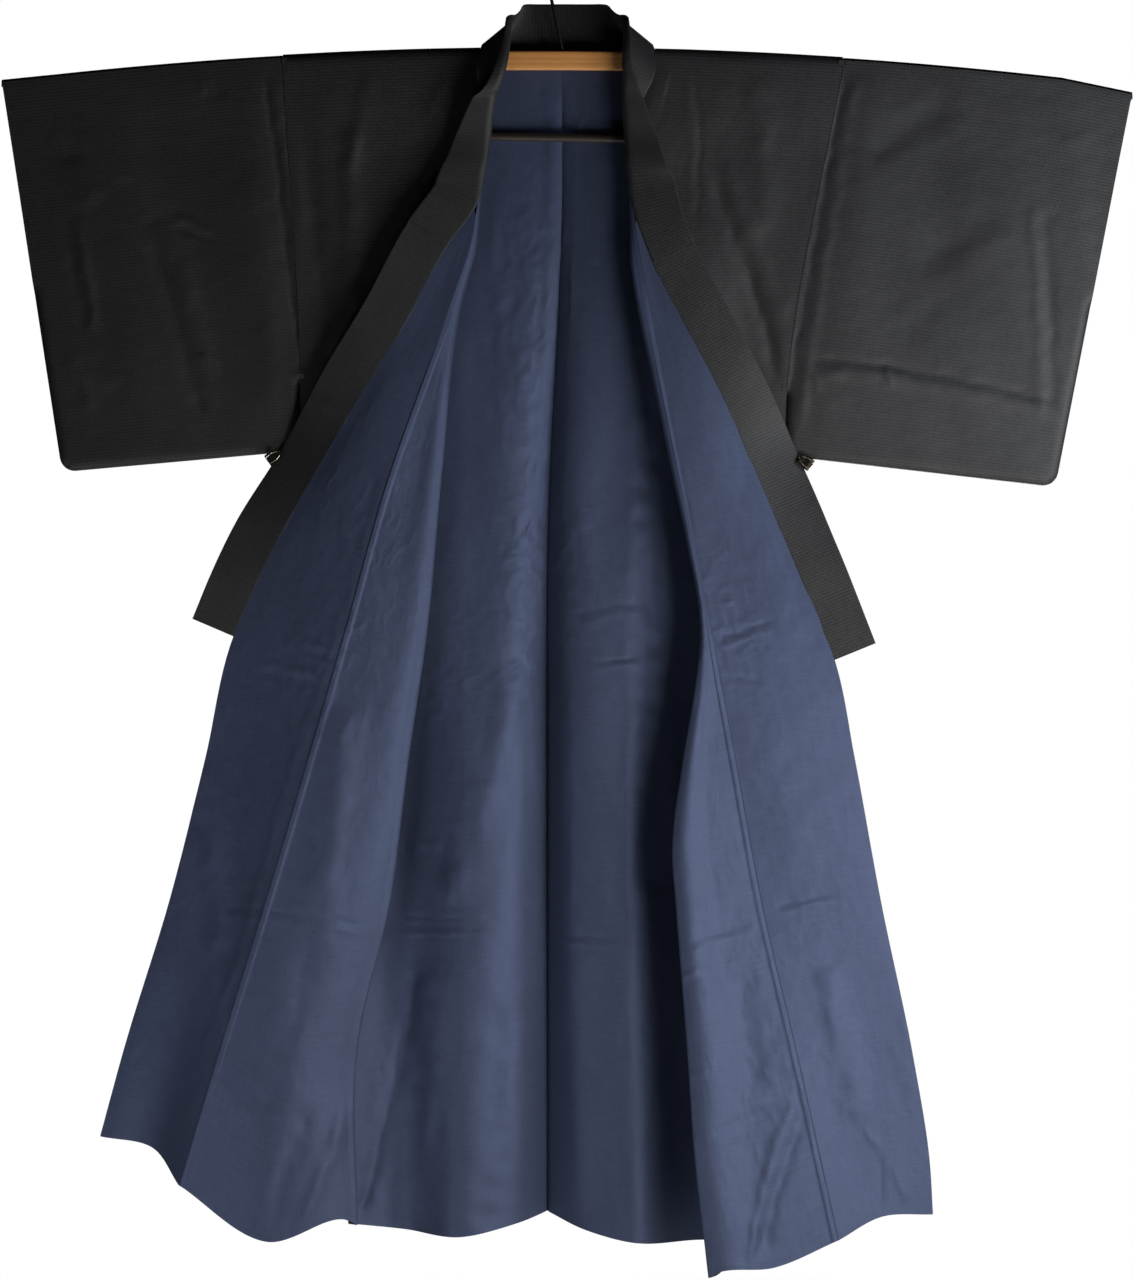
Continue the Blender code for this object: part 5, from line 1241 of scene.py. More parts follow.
def buildBar():
    # rounded oblongs along out, lowered by arch * out^2 and smaller at both ends
    sizes = hangerSizes
    half, ends = sizes["barLength"] / 2, np.array(sizes["endStations"])
    outs = np.concatenate([-half + ends, np.linspace(-half + 10, half - 10, 90),
                           half - ends[::-1]])
    thin = sizes["endThin"]
    scale = thin + (1.0 - thin) * edgeRise(half - np.abs(outs), ends[-1])
    ring = sectionRing(sizes["barThick"], sizes["barHeight"], sizes["barCorner"])
    middle = sizes["barTop"] + sizes["barHeight"] / 2 + archDrop(outs, "left")
    level = -sizes["shoulderDrop"] - middle[:, None]
    grid = np.stack(np.broadcast_arrays(outs[:, None], -ring[:, 0] * scale[:, None],
                                        level + ring[:, 1] * scale[:, None]), axis=-1)
    caps = [np.repeat(grid[pick].mean(axis=1, keepdims=True), grid.shape[1], axis=1)
            for pick in (np.s_[:1], np.s_[-1:])]
    grid = np.concatenate([caps[0], grid, caps[1]]) * mm
    return tubePiece("hangerBar", grid, "wood", "hanger_bar")


def buildRod():
    # a thin straight rod and the two turned pins that carry it
    sizes = hangerSizes
    level = -sizes["shoulderDrop"] - sizes["rodDrop"]
    reach = sizes["rodLength"] / 2
    start = np.array([-reach, 0, level + reach * sizes["rodTilt"]])
    end = np.array([reach, 0, level - reach * sizes["rodTilt"]])
    path = start + np.linspace(0, 1, 40)[:, None] * (end - start)
    path, radii = roundedEnds(path, sizes["rodThick"] / 2)
    tubePiece("hangerRod", tube(path, radii, 32) * mm, "rod", "hanger_rod")
    gap = clothSizes["seamGap"]
    for side in ("right", "left"):
        out = signOf[side] * sizes["linkOut"]
        foot = sizes["barTop"] + sizes["barHeight"] + archDrop(sizes["linkOut"], side)
        top = -sizes["shoulderDrop"] - foot - gap
        low = level - out * sizes["rodTilt"] + sizes["rodThick"] / 2 + gap
        path = np.stack([np.full(60, out), np.zeros(60), np.linspace(top, low, 60)], axis=-1)
        path, radii = roundedEnds(path, sizes["linkThick"] / 2)
        # thinner between its two collars
        share = (path[:, 2] - low) / (top - low)
        radii = radii * (1.0 - sizes["linkWaist"] * plateau((0.10, 0.20), (0.80, 0.90), share))
        tubePiece("hangerLink" + sideName[side], tube(path, radii, 20, (1.0, 0.0, 0.0)) * mm,
                  "wire", "hanger_link_" + side)


def buildHook():
    # up the stem, a small swerve, then round over the rail: centre + radius * (cos, sin)
    sizes = hangerSizes
    radius, centre = sizes["hookRadius"] + sizes["hookWire"] / 2, -sizes["hookRadius"]
    foot = -sizes["shoulderDrop"] - sizes["barTop"] + clothSizes["seamGap"]
    angles = np.radians(np.arange(*sizes["hookTurn"]))
    bend = ([(0.0, 0.0, foot), (0.0, 0.0, foot + 30)]
            + [(out, 0.0, centre - below) for out, below in sizes["hookSwerve"]]
            + [(radius * math.cos(a), 0.0, centre + radius * math.sin(a)) for a in angles])
    path, radii = roundedEnds(smoothPath(bend, 150), sizes["hookWire"] / 2)
    tubePiece("hangerHook", tube(path, radii, 20) * mm, "dark", "hanger_hook")


# small spring clips that hold each turned-back front to its sleeve's corner
clipSizes = {
    "length": 14.5, "depth": 17.0, "sheet": 0.6, "wire": 1.0, "front": 14.9, "back": -7.4,
    "middle": {"right": (338.6, 486.0), "left": (285.4, 491.8)},
    "along": {"right": (-0.566, 0.824), "left": (-0.596, 0.803)},
    # one jaw's bend as (depth, how far it stands out), and a handle as (run, depth)
    "jaw": [(0.0, -0.15), (1.2, 0.0), (6.0, 0.25), (14.8, 0.75), (16.3, 0.3), (17.0, -1.4)],
    "handle": [(-2.6, 1.0), (-5.2, 4.5), (-4.9, 8.5), (-4.3, 14.5), (-3.4, 16.7), (0.0, 17.0),
               (3.4, 16.7), (4.3, 14.5), (4.9, 8.5), (5.2, 4.5), (2.6, 1.0)],
    "lean": 0.08,              # how far a handle stands out more, for each mm of depth
    "clear": 0.3,
}


def buildClip(side):
    # a sheet bent round the cloth's edge, with a rolled lip at each jaw, and its two wires
    sizes = clipSizes
    middle = np.array(sizes["middle"][side])
    along = np.array(sizes["along"][side])
    along = along / np.linalg.norm(along)
    deep = np.array([along[1], -along[0]])
    deep = -deep if deep[1] < 0 else deep

    def placed(run, depth, fore):
        run, depth, fore = np.broadcast_arrays(run, depth, fore)
        flat = middle + along * run[..., None] + deep * depth[..., None]
        return worldOf(np.stack([flat[..., 0], fore, flat[..., 1]], axis=-1), side)

    front, back, depth = sizes["front"], sizes["back"], sizes["depth"]
    outline = ([(deepness, front + out) for deepness, out in sizes["jaw"]]
               + [(depth, (front + back) / 2)]
               + [(deepness, back - out) for deepness, out in sizes["jaw"][::-1]])
    path = smoothPath(outline, 90)
    ways = np.gradient(path, axis=0)
    ways /= np.linalg.norm(ways, axis=1)[:, None]
    sideways = np.stack([-ways[:, 1], ways[:, 0]], axis=-1)
    ring = np.concatenate([path, (path - sideways * sizes["sheet"])[::-1], path[:1]])
    runs = sizes["length"] / 2 * np.array([-1, -0.985, -0.5, 0, 0.5, 0.985, 1.0])
    grid = placed(runs[:, None], ring[:, 0], ring[:, 1])
    way = placed(0.0, depth + 5.0, 0.0) - placed(0.0, depth, 0.0)
    makePiece("clip" + sideName[side], [(grid, plainUv(grid))] + endCaps(grid, len(path)),
              (3, len(path) // 2, way), "dark", ["clip_" + side], weld=0.000005)
    for face, at, way in (("Front", front, 1.0), ("Back", back, -1.0)):
        run, deepness = smoothPath(sizes["handle"], 90)[:, :2].T
        fore = at + way * (sizes["wire"] / 2 + sizes["clear"] + sizes["lean"] * deepness)
        path, radii = roundedEnds(placed(run, deepness, fore) / mm, sizes["wire"] / 2)
        tubePiece("clipHandle" + face + sideName[side], tube(path, radii, 12) * mm, "wire",
                  "clip_wire_%s_%s" % (face.lower(), side))


hangerBar = buildBar()
buildRod()
buildHook()
for side in ("right", "left"):
    buildClip(side)
print("hanger and clips: done")


# body: long panels and overlap panels

bodySteps = {
    "point": 0.142,            # share of the front at which the overlap panel starts
    "outerColumns": [24, 24, 16, 8, 8, 12, 12],
    "liningColumns": [5, 5, 5, 5, 9, 34, 30],
    "backColumns": [30, 28, 16, 14],
    "overlapOuter": [16, 14],
    "overlapLining": [28, 26],
    "besideSeam": [6.987, 6.975, 6.955, 6.945, 6.922, 6.91],
    "pressedAt": [600, 690, 742, 1050],
    "outerRow": 6.4,           # millimetres from row to row
    "frontLiningRow": 4.6,
    "backLiningRow": 4.8,
}
# what moves and what lies still, as (from, to) in millimetres
bodyFades = {
    "shoulder": (16.0, 60.0),
    "sideSeam": (0.0, 16.0),
    "flap": (3.7, 4.3),        # line numbers, not millimetres
    "belowPoint": (150.0, 260.0),
    "neckEdge": (0.0, 14.0),
    "collarEdge": (0.0, 20.0),
    "panelSeam": (0.0, 12.0),
    "collarEnd": 40.0,
    "ridge": ((0.3, 1.6), (6.0, 8.5)),
    "ridgeDrops": (300.0, 420.0),
    "ridgeHeight": 1.1,
}
# the back's centre seam: a valley as (depth, half width), and a ridge beside it as
# (distance, half width) with its height on each side
centreSeam = {
    "drops": (20.0, 90.0),
    "valley": (-1.3, 3.2),
    "ridge": (13.0, 8.0),
    "height": {"right": 1.2, "left": 0.5},
}
# what each part's unevenness is drawn from
seeds = {"front": {"right": 11, "left": 12}, "flap": {"right": 21, "left": 22}, "back": 31}
backward, upward = np.array([0.0, -1.0, 0.0]), np.array([0.0, 0.2, -1.0])


def rowShares(step, places, reach=30.0):
    # shares of the length, about step apart, with a row just at the overlap panel's point
    length, point = clothSizes["length"], bodySteps["point"]
    top = spread(length * point, step) * point
    low = spread(length * (1 - point), step, [at - length * point for at in places], 2.1,
                 reach)
    return np.concatenate([top[:-1], point + low * (1 - point)]), len(top) - 1


def bendOver(row, start, stop, step):
    # part of a half circle over the bar, from a row of points: start to stop in degrees,
    # as fore = -radius * cos and drop = the row's - radius * sin
    angles = np.radians(np.arange(start, stop, step))
    radius = clothSizes["shoulderRadius"]
    bend = np.repeat(row[None], len(angles), axis=0)
    bend[:, :, 1] = -radius * np.cos(angles)[:, None]
    bend[:, :, 2] = row[:, 2] - radius * np.sin(angles)[:, None]
    return bend


def distanceFrom(grid, column):
    # how far each point is from its row's point in that column
    return np.linalg.norm(grid - grid[:, column][:, None], axis=-1)


def edgeFade(grid):
    # 1 over the cloth, falling to 0 at the shoulder and at the closed side seam
    return (smoothStep(*bodyFades["shoulder"], grid[..., 2])
            * smoothStep(*bodyFades["sideSeam"], distanceFrom(grid, 0)))


def frontGrid(side, rows, cuts):
    # the front's sheet, moved by its folds: the shown part's, then the turned-back flap's
    grid = frontSheet(side, rows, cuts)
    flap = smoothStep(*bodyFades["flap"], cuts)[None, :]
    shown = ripple(grid, side, "front", seeds["front"][side])
    turned = ripple(grid, side, "flap" + sideName[side], seeds["flap"][side])
    moved = (shown * (1 - flap) + turned * flap) * edgeFade(grid)
    # the neck edge stays with the collar down to the overlap panel's point
    fromNeck = distanceFrom(grid, -1)
    near = 1.0 - (1.0 - smoothStep(*bodyFades["neckEdge"], fromNeck)) * (
        1.0 - smoothStep(*bodyFades["belowPoint"], grid[..., 2]))
    grid[..., 1] += moved * near
    # the allowances pressed to one side of the overlap panel's seam make a flat ridge
    ridge = bodyFades["ridgeHeight"] * plateau(*bodyFades["ridge"], fromNeck)
    grid[..., 1] += ridge * smoothStep(*bodyFades["ridgeDrops"], grid[..., 2])
    return grid


def overlapGrid(side, rows, cuts):
    # the overlap panel's sheet, moved by the flap's folds: it lies still along the collar,
    # but moves with the front along their seam
    grid = overlapSheet(side, rows, cuts)
    drop = grid[..., 2]
    moved = ripple(grid, side, "flap" + sideName[side], seeds["flap"][side])
    nearCollar = 1.0 - smoothStep(*bodyFades["collarEdge"], distanceFrom(grid, -1))
    nearCollar = nearCollar * smoothStep(*bodyFades["panelSeam"], distanceFrom(grid, 0))
    end = clothSizes["collarEnd"][side]
    collarPart = 1.0 - smoothStep(end, end + bodyFades["collarEnd"], drop)
    moved = moved * smoothStep(*bodyFades["belowPoint"], drop)
    grid[..., 1] += moved * (1.0 - nearCollar * collarPart)
    return grid


def backGrid(side, rows, cuts):
    # the back's sheet with its folds, and a bell-shaped valley and ridge at its centre seam
    grid = backSheet(side, rows, cuts)
    grid[..., 1] += ripple(grid, side, "back", seeds["back"]) * edgeFade(grid)
    fromCentre = np.abs(grid[..., 0] - grid[:, -1:, 0])
    (deep, half), (beside, ridgeHalf) = centreSeam["valley"], centreSeam["ridge"]
    ridge = centreSeam["height"][side] * bell(fromCentre - beside, ridgeHalf)
    moved = deep * bell(fromCentre, half) + ridge
    grid[..., 1] += smoothStep(*centreSeam["drops"], grid[..., 2]) * moved
    return grid


def onward(grid, column):
    # unit ways out over an edge column, on from its neighbour
    way = grid[:, column] - grid[:, 1 if column == 0 else -2]
    return way / np.linalg.norm(way, axis=-1)[:, None]


def allowance(grid, normals, column, face, width=1.6):
    # what lies behind a seam: a strip on from an edge column, sunk from face to the sheet
    way, normal, over = onward(grid, column), normals[:, column], np.sign(face)
    edge = grid[:, column] + normal * (face - 0.15 * over)
    sunk = grid[:, column] + normal * 0.25 * over + way * 0.2
    return np.stack([edge, sunk, sunk + way * width], axis=1)


def neckTab(inner, reach=24.0, height=7.0):
    # the neck's allowance behind the collar: the back's upper edge, moved up by height
    edge = inner[-1, inner[-1, :, 0] > inner[-1, 0, 0] - reach]
    edge = np.concatenate([edge[:1] + [3.0, 0.0, 0.0], edge])
    return np.stack([edge + [0.0, 0.1, 2.0], edge + [0.0, 0.4, -height]])


def joined(ways, otherWays):
    # one unit normal along the line where two parts meet
    both = ways[:, -1] + otherWays[:, 0]
    both /= np.linalg.norm(both, axis=-1)[..., None]
    ways[:, -1], otherWays[:, 0] = both, both


def joinOverlap(strip, ways, overlap, neckStart, tuck):
    # sets the overlap panel beside a front with the seam's gap between them, and draws the
    # neck's edge above it in by a share of the last column
    half = clothSizes["seamGap"] / 2
    first = len(strip) - len(overlap)
    overlapWays = normalsOf(overlap)
    if np.sum(overlapWays[-1, 0] * ways[-1, -1]) < 0:
        overlapWays = -overlapWays
    joined(ways[first:], overlapWays)
    strip[:, 0] -= onward(strip, 0) * half
    shift = onward(overlap, 0) * half
    strip[first:, -1] += shift
    overlap[:, 0] -= shift
    neck = strip[neckStart:first]
    neck[:, -1] += (neck[:, -2] - neck[:, -1]) * tuck
    return overlapWays


def joinBack(ways, inner):
    # sets the back's inner part beside its outer one; at the centre seam its normals lie in
    # the middle plane and its edge keeps half of the gap
    innerWays = agreeing(normalsOf(inner), backward)
    joined(ways[:len(inner)], innerWays)
    innerWays[:, -1, 0] = 0.0
    innerWays[:, -1] /= np.linalg.norm(innerWays[:, -1], axis=-1)[:, None]
    inner[:, -1, 0] += clothSizes["seamGap"] / 2
    return innerWays


def clothPiece(cut, side, parts, finish, nodes, hidden=()):
    # parts are (grid, normals, joined edge) in (out, fore, drop): each face lies off its
    # sheet by the finish's depth, and its open edges are turned towards the other side
    face = clothSizes[finish]
    turning = clothSizes["turning"] * np.sign(face)
    patches = []
    for grid, normals, closedEdge in parts:
        surface = grid + normals * face
        world, uv = worldOf(surface, side), flatUv(surface)
        patches.append((world, uv))
        strips = rims(world, wayOf(normals, side), uv, turning * mm)
        patches += [strip for number, strip in enumerate(strips) if number != closedEdge]
    patches += [(worldOf(strip, side), flatUv(strip)) for strip in hidden]
    normal = wayOf(parts[0][1], side)
    row, column = normal.shape[0] // 3, normal.shape[1] // 2
    thing = makePiece(cut + sideName[side], patches,
                      (row, column, normal[row, column] * np.sign(face)), finish, nodes)
    hung(thing)
    return thing


def buildOuter(side):
    # outer cloth: back, shoulder and front in one length, and the overlap panel
    rows, point = rowShares(bodySteps["outerRow"], [])
    cuts = columnsOf(bodySteps["outerColumns"])
    front = frontGrid(side, rows, cuts)
    outs = front[0, :, 0]
    # the back's lines are cut where the front's columns reach the shoulder
    sideOut, outerOut, neckOut = (lineTables[side][name][0][1]
                                  for name in ("side", "outer", "neck"))
    backCuts = np.where(outs > outerOut, (sideOut - outs) / (sideOut - outerOut),
                        1.0 + (outerOut - outs) / (outerOut - neckOut))
    innerCuts = np.linspace(2.0, 4.0, 29)[1:]
    whole = backGrid(side, rows, np.concatenate([np.clip(backCuts, 0.0, 2.0), innerCuts]))
    back, inner = whole[:, :len(cuts)], whole[:, len(cuts) - 1:]
    back[0, :, 0], back[0, :, 2] = outs, front[0, :, 2]
    inner[0, :, 2] -= smoothStep(neckOut, 20.0, inner[0, :, 0])
    inner[0, 0] = back[0, -1]
    strip = np.concatenate([back[::-1], bendOver(front[0], 15.0, 166.0, 15.0), front])
    inner = inner[::-1]
    ways = agreeing(normalsOf(strip), backward)
    overlap = overlapGrid(side, rows[point:], columnsOf(bodySteps["overlapOuter"]))
    overlapWays = joinOverlap(strip, ways, overlap, len(inner), 0.35)
    innerWays = joinBack(ways, inner)
    face = clothSizes["outer"]
    hidden = [allowance(inner, innerWays, -1, face)] if side == "right" else []
    outer = clothPiece("bodyCloth", side, [(strip, ways, 3), (inner, innerWays, 2)], "outer",
                       ["back_" + side, "front_" + side],
                       hidden + [neckTab(inner)])
    clothPiece("overlapCloth", side, [(overlap, overlapWays, None)], "outer",
               ["okumi_" + side], [allowance(overlap, overlapWays, 0, face)])
    return outer


def buildFrontLining(side):
    # lining of the front and of the overlap panel, fine where it shows
    rows, point = rowShares(bodySteps["frontLiningRow"], bodySteps["pressedAt"])
    cuts = columnsOf(bodySteps["liningColumns"])
    cuts = np.sort(np.concatenate([cuts, bodySteps["besideSeam"]]))
    front = frontGrid(side, rows, cuts)
    strip = np.concatenate([bendOver(front[0], 90.0, 171.0, 10.0), front])
    ways = agreeing(normalsOf(strip), upward)
    overlap = overlapGrid(side, rows[point:], columnsOf(bodySteps["overlapLining"]))
    overlapWays = joinOverlap(strip, ways, overlap, 0, 0.2)
    clothPiece("frontLining", side, [(strip, ways, None)], "lining",
               ["lining_front_" + side])
    clothPiece("overlapLining", side, [(overlap, overlapWays, None)], "lining",
               ["lining_okumi_" + side],
               [allowance(overlap, overlapWays, 0, clothSizes["lining"])])


def buildBackLining(side):
    # lining of the back, from the top of the bar down
    rows, _ = rowShares(bodySteps["backLiningRow"], bodySteps["pressedAt"])
    counts = bodySteps["backColumns"]
    whole = backGrid(side, rows, columnsOf(counts))
    split = sum(counts[:2])
    back, inner = whole[:, :split + 1].copy(), whole[:, split:].copy()
    neckOut = lineTables[side]["neck"][0][1]
    inner[0, 1:, 2] -= smoothStep(neckOut, 20.0, inner[0, 1:, 0])
    strip = np.concatenate([back[::-1], bendOver(back[0], 10.0, 91.0, 10.0)])
    inner = inner[::-1]
    ways = agreeing(normalsOf(strip), backward)
    innerWays = joinBack(ways, inner)
    strip[:, 0] -= onward(strip, 0) * clothSizes["seamGap"] / 2
    face = clothSizes["lining"]
    hidden = [allowance(inner, innerWays, -1, face)] if side == "right" else []
    clothPiece("backLining", side, [(strip, ways, 3), (inner, innerWays, 2)], "lining",
               ["lining_back_" + side], hidden)


for side in ("right", "left"):
    buildOuter(side)
    buildFrontLining(side)
    buildBackLining(side)
print("body: done")


# sleeves

sleeveSizes = {
    "width": 335.0,
    "outerSteps": (3.4, 3.1),      # down and across
    "lastRows": (0.965, 9, 0.6),   # from this share, so many rows that crowd to the bottom
    "edgeColumns": [0.0, 0.0012, 0.003, 0.006],
    "liningSteps": (9.0, 8.0),
    "liningInset": 1.2,
    "faceDepth": 0.9,              # outer face and lining, either way from the sheet
    "shownFolds": [(41, 90.0, 0.5, 1.6), (42, 24.0, 0.10)],   # seed, size, height, stretch
    "backFolds": (43, 110.0, 1.2, 1.8),
    "backCalm": 0.5,
    "calmDrops": (20.0, 60.0),     # no folds above these, nor where it is this thin
    "calmDepths": (0.0, 6.0),
    "openingEnd": 8,               # the turned edge ends so far above a closed seam
    "sewnIn": 6.0,
    "weld": 0.00004,
}


def sleeveTube(side, rows, columns, inset, thick):
    # back and front of a sleeve, joined by half an ellipse over the top
    flat, depth = sleeveHalf(side, rows, columns, inset, thick)
    wave = sleeveWave(side, rows, columns)
    across, drop = flat[..., 0] * signOf[side], flat[..., 1]
    calm = (smoothStep(*sleeveSizes["calmDrops"], drop)
            * smoothStep(*sleeveSizes["calmDepths"], depth))
    shown = sum(crumple(across, drop, *fold) for fold in sleeveSizes["shownFolds"])
    shown = (shown + pressed(across, drop, creases["sleeve" + sideName[side]])) * calm
    behind = crumple(across, drop, *sleeveSizes["backFolds"]) * calm * sleeveSizes["backCalm"]
    back, front = (np.stack([flat[..., 0], wave + way * depth + extra, flat[..., 1]], axis=-1)
                   for way, extra in ((-1.0, behind), (1.0, shown)))
    radius = clothSizes["shoulderRadius"]
    back[0, :, 2] += radius
    front[0, :, 2] += radius
    angles = np.radians(np.arange(15.0, 166.0, 15.0))[:, None]
    bend = np.repeat(front[None, 0], len(angles), axis=0)
    bend[:, :, 1] = wave[0] - depth[0] * np.cos(angles)
    bend[:, :, 2] = front[0, :, 2] - radius * np.sin(angles)
    return np.concatenate([back[::-1], bend, front])


def sleevePiece(cut, side, patches, ways, finish, nodes, way):
    # welds a sleeve's patches; the faces point along its normals, or against them
    row, column = ways.shape[0] * 3 // 4, ways.shape[1] // 2
    outward = (row, column, wayOf(ways[row, column], side) * way)
    thing = makePiece(cut + sideName[side], patches, outward, finish, nodes,
                      sleeveSizes["weld"])
    hung(thing)


def buildSleeve(side):
    # the outer sleeve with its turned openings, and its lining a little inside it
    shape = sleeveTables[side]
    length = shape["bottomOut"][1] - shape["topOut"][1]
    innerLength = shape["bottomIn"][1] - shape["topIn"][1]
    down, across = sleeveSizes["outerSteps"]
    # the last rows crowd towards the closed bottom edge, and columns towards both sides
    rows, (last, more, power) = spread(length, down), sleeveSizes["lastRows"]
    crowded = 1 - (1 - last) * (1 - np.linspace(0, 1, more) ** power)
    rows = np.concatenate([rows[rows < last], crowded])
    columns, edges = spread(sleeveSizes["width"], across), np.array(sleeveSizes["edgeColumns"])
    clear = 1.5 * edges[-1]
    columns = np.concatenate([edges, columns[(columns > clear) & (columns < 1.0 - clear)],
                              1.0 - edges[::-1]])
    grid = sleeveTube(side, rows, columns, 0.0, sleeveSizes["faceDepth"])
    ways = agreeing(normalsOf(grid), backward)
    world, directions, uv = worldOf(grid, side), wayOf(ways, side), flatUv(grid)
    openings = [clothSizes["cuffOpening"], shape["armholeEnd"][1] - shape["topIn"][1]]
    cuffRows, armRows = (int(np.searchsorted(rows * whole, opening - sleeveSizes["openingEnd"]))
                         for opening, whole in zip(openings, (length, innerLength)))
    count = len(rows)
    low = len(grid) - count
    patches = [(world, uv)]
    for column, reach in ((-1, cuffRows), (0, armRows)):
        edge, way, flat = (part[count - reach:low + reach, column]
                           for part in (world, directions, uv))
        turned = edge - way * clothSizes["turning"] * mm
        patches.append((np.stack([edge, turned], axis=1), np.stack([flat, flat], axis=1)))
    # what is sewn in behind the armhole's seam, and what closes the seam below it, where
    # the edge lies against the body's side
    away = np.array([sleeveSizes["sewnIn"], 0.0, 0.0])
    span = slice(count - armRows - 6, low + armRows + 6)
    edge, below = grid[span, 0], grid[low + armRows:-8, 0]
    sunk = edge - ways[span, 0] * clothSizes["turning"]
    for points in ((edge, sunk, sunk - away), (below, below - away)):
        strip = np.stack(points, axis=1)
        patches.append((worldOf(strip, side), flatUv(strip)))
    sleevePiece("sleeve", side, patches, ways, "outer", ["sleeve_" + side], 1.0)
    down, across = sleeveSizes["liningSteps"]
    rows = np.concatenate([spread(length, down)[:-1], [0.985, 1.0]])
    grid = sleeveTube(side, rows, spread(sleeveSizes["width"], across),
                      sleeveSizes["liningInset"], -sleeveSizes["faceDepth"])
    ways = agreeing(normalsOf(grid), backward)
    sleevePiece("sleeveLining", side, [(worldOf(grid, side), flatUv(grid))], ways, "lining",
                [], -1.0)


for side in ("right", "left"):
    buildSleeve(side)
print("sleeves: done")


# collar and over-collar

bandSizes = {
    "neckStations": (-110.0, 20.0, 2.5),    # from, to and step round the neck
    "step": 3.6,
    "turns": 4,                             # points round a thin edge
    "coverFrom": 2.0 / 58.0,                # shares of the band's width
    "coverFaces": (2.15, 1.25),             # outer and inner face from the band's sheet
    "coverTurns": 6,
    "soft": [(51, 60.0, 0.22), (52, 18.0, 0.05)],    # seed, size and height
    "softDrops": (90.0, 160.0),
}


def collarRipple(grid, side):
    # a little unevenness and the collar's own creases, from below the neck on
    across, drop = grid[..., 0] * signOf[side], grid[..., 2]
    moved = sum(crumple(across, drop, *wave) for wave in bandSizes["soft"])
    moved = moved + pressed(across, drop, creases["collar" + sideName[side]])
    return moved * smoothStep(*bandSizes["softDrops"], drop)


def collarHalves(ends, across):
    # the band on both sides as one grid: places, normals, and the ways out over its edges
    found = []
    start, stop, step = bandSizes["neckStations"]
    for side in ("right", "left"):
        count = int((ends[side] - stop) / bandSizes["step"]) + 1
        stations = np.concatenate([np.arange(start, stop, step),
                                   np.linspace(stop, ends[side], count)])
        grid, ways, out = collarSheet(side, stations, across)
        grid[..., 1] += collarRipple(grid, side)
        found.append((worldOf(grid, side), wayOf(ways, side), wayOf(out[:, -1:], side),
                      wayOf(-out[:, :1], side)))
    return [bothHalves(*pair) for pair in zip(*found)]


def buildBand():
    # the collar band, folded lengthwise: a thin wrapped section
    across = np.concatenate([np.linspace(0, 0.06, 3), np.linspace(0.1, 0.94, 25),
                             np.linspace(0.97, 1.0, 3)])
    grid, ways, ends, starts = collarHalves(clothSizes["collarEnd"], across)
    half, turns = clothSizes["collarHalf"] * mm, bandSizes["turns"]
    ring = wrapped(grid, ways, ends, starts, half, turns)
    ring = np.concatenate([ring, ring[:, :1]], axis=1)
    count = grid.shape[1]
    row, column = len(ring) // 2, count // 2
    band = makePiece("collarBand", [(ring, plainUv(ring))] + endCaps(ring, count, turns),
                     (row, column, ways[row, column]), "outer", ["collar"], weld=0.00001)
    hung(band)
    return band


def buildCover(band):
    # over-collar: up one face, round the free edge and down the other face
    across = np.concatenate([[bandSizes["coverFrom"]], np.linspace(0.07, 0.97, 24), [1.0]])
    grid, ways, ends, _ = collarHalves(clothSizes["overCollarEnd"], across)
    outer, inner = (doubled(grid, ways, ends, distance * mm, bandSizes["coverTurns"])
                    for distance in bandSizes["coverFaces"])
    ring = np.concatenate([outer, inner[:, ::-1], outer[:, :1]], axis=1)
    row, column = len(ring) // 2, 10
    cover = makePiece("overCollar", [(ring, plainUv(ring))] + endCaps(ring, outer.shape[1]),
                      (row, column, ways[row, column]), "outer", ["over_collar"],
                      weld=0.00001)
    hung(cover)


buildCover(buildBand())
print("collar: done")


# floor, light and camera

studio = {
    "centre": (0.0054, -0.8224),
    "distance": 9.0,
    "frameHeight": 1.536,
    "sensor": 24.0,
    "floor": (1.1, -1.72),         # radius and level
    "fill": 0.014,
    "fillColour": (0.93, 0.96, 1.0, 1.0),
    # each light: place, what it points at, size, power and colour
    "lights": {
        "key": ((0.88, -0.98, -1.18), (0.13, 0.0, -0.95), 0.8, 16.5, (1.0, 0.985, 0.96)),
        "left": ((-0.78, -0.78, -1.84), (-0.40, 0.0, -1.36), 0.6, 13.0, (0.95, 0.97, 1.0)),
        "low": ((0.05, -0.80, -1.90), (0.05, 0.0, -1.35), 0.5, 6.0, (0.95, 0.97, 1.0)),
        "high": ((0.98, -0.52, -0.50), (0.58, 0.0, -0.42), 0.3, 4.8, (0.90, 0.95, 1.0)),
        "behind": ((0.55, 1.70, -1.00), (0.0, 0.0, -0.85), 1.0, 42.0, (1.0, 0.985, 0.96)),
    },
}


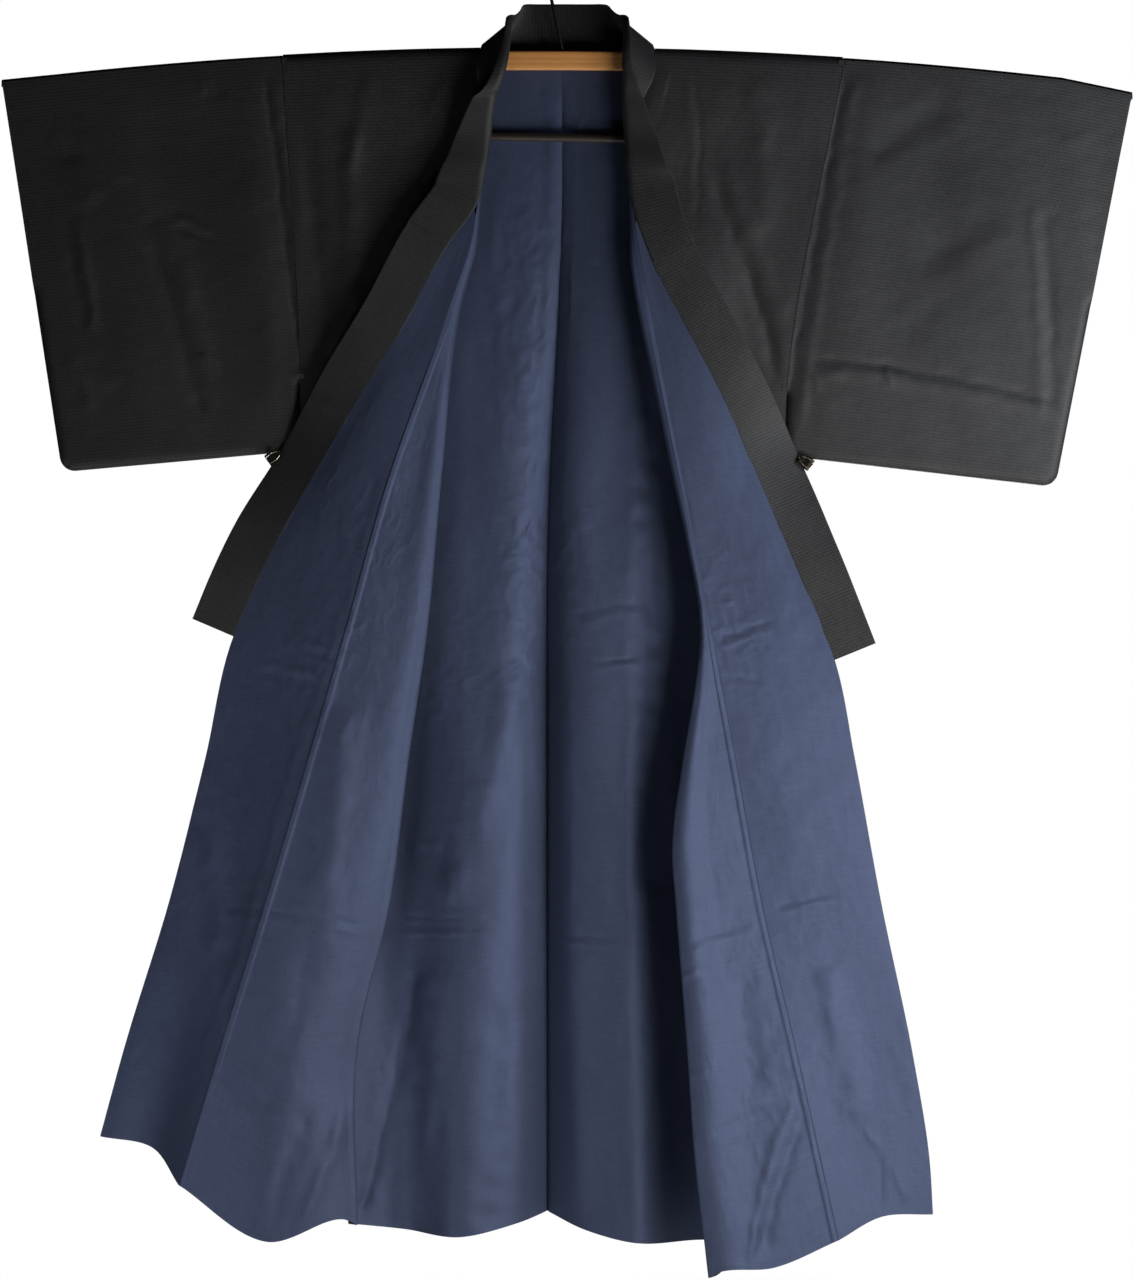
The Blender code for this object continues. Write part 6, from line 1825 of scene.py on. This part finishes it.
def buildFloor():
    # a flat disc: radius * (cos, sin) at one level
    radius, level = studio["floor"]
    angle = np.linspace(0.0, 2.0 * math.pi, 97)
    reach = np.array([0.0, 0.35, 0.7, 1.0])[:, None] * radius
    grid = np.stack([reach * np.cos(angle), reach * np.sin(angle), np.full((4, 97), level)],
                    axis=-1)
    makePiece("floor", [(grid, grid[..., :2])], (1, 10, (0.0, 0.0, 1.0)), "floor",
                       weld=0.00001)


def buildLight():
    # white behind the object, a weak even fill and soft discs of light
    world = bpy.data.worlds.new("paleStudio")
    bpy.context.scene.world = world
    world.use_nodes = True
    world.node_tree.nodes.clear()
    nodes = Nodes(world.node_tree)
    seen = nodes.node("ShaderNodeBackground", {"Color": (1.0, 1.0, 1.0, 1.0),
                                               "Strength": 1.0})
    soft = nodes.node("ShaderNodeBackground", {"Color": studio["fillColour"],
                                               "Strength": studio["fill"]})
    direct = nodes.node("ShaderNodeLightPath", output="Is Camera Ray")
    mixed = nodes.node("ShaderNodeMixShader", [direct, soft, seen])
    nodes.node("ShaderNodeOutputWorld", {"Surface": mixed})
    for name, (spot, aim, size, power, colour) in studio["lights"].items():
        data = bpy.data.lights.new(name, "AREA")
        data.shape = "DISK"
        data.size = size
        data.energy = power
        data.color = colour
        lamp = bpy.data.objects.new(name, data)
        lamp.location = spot
        lamp.rotation_euler = (Vector(aim) - Vector(spot)).to_track_quat("-Z", "Y").to_euler()
        lamp.visible_camera = False
        bpy.context.scene.collection.objects.link(lamp)


def buildCamera():
    # level with the garment's middle: lens = sensor * distance / height of the frame
    data = bpy.data.cameras.new("camera")
    data.sensor_fit = "VERTICAL"
    data.sensor_height = studio["sensor"]
    data.lens = studio["sensor"] * studio["distance"] / studio["frameHeight"]
    data.clip_end = 60.0
    camera = bpy.data.objects.new("camera", data)
    camera.location = (studio["centre"][0], -studio["distance"], studio["centre"][1])
    camera.rotation_euler = (math.pi / 2, 0.0, 0.0)
    bpy.context.scene.collection.objects.link(camera)
    bpy.context.scene.camera = camera
    bpy.context.scene.view_settings.view_transform = "Standard"


buildFloor()
buildLight()
buildCamera()
print("floor, light and camera: done")
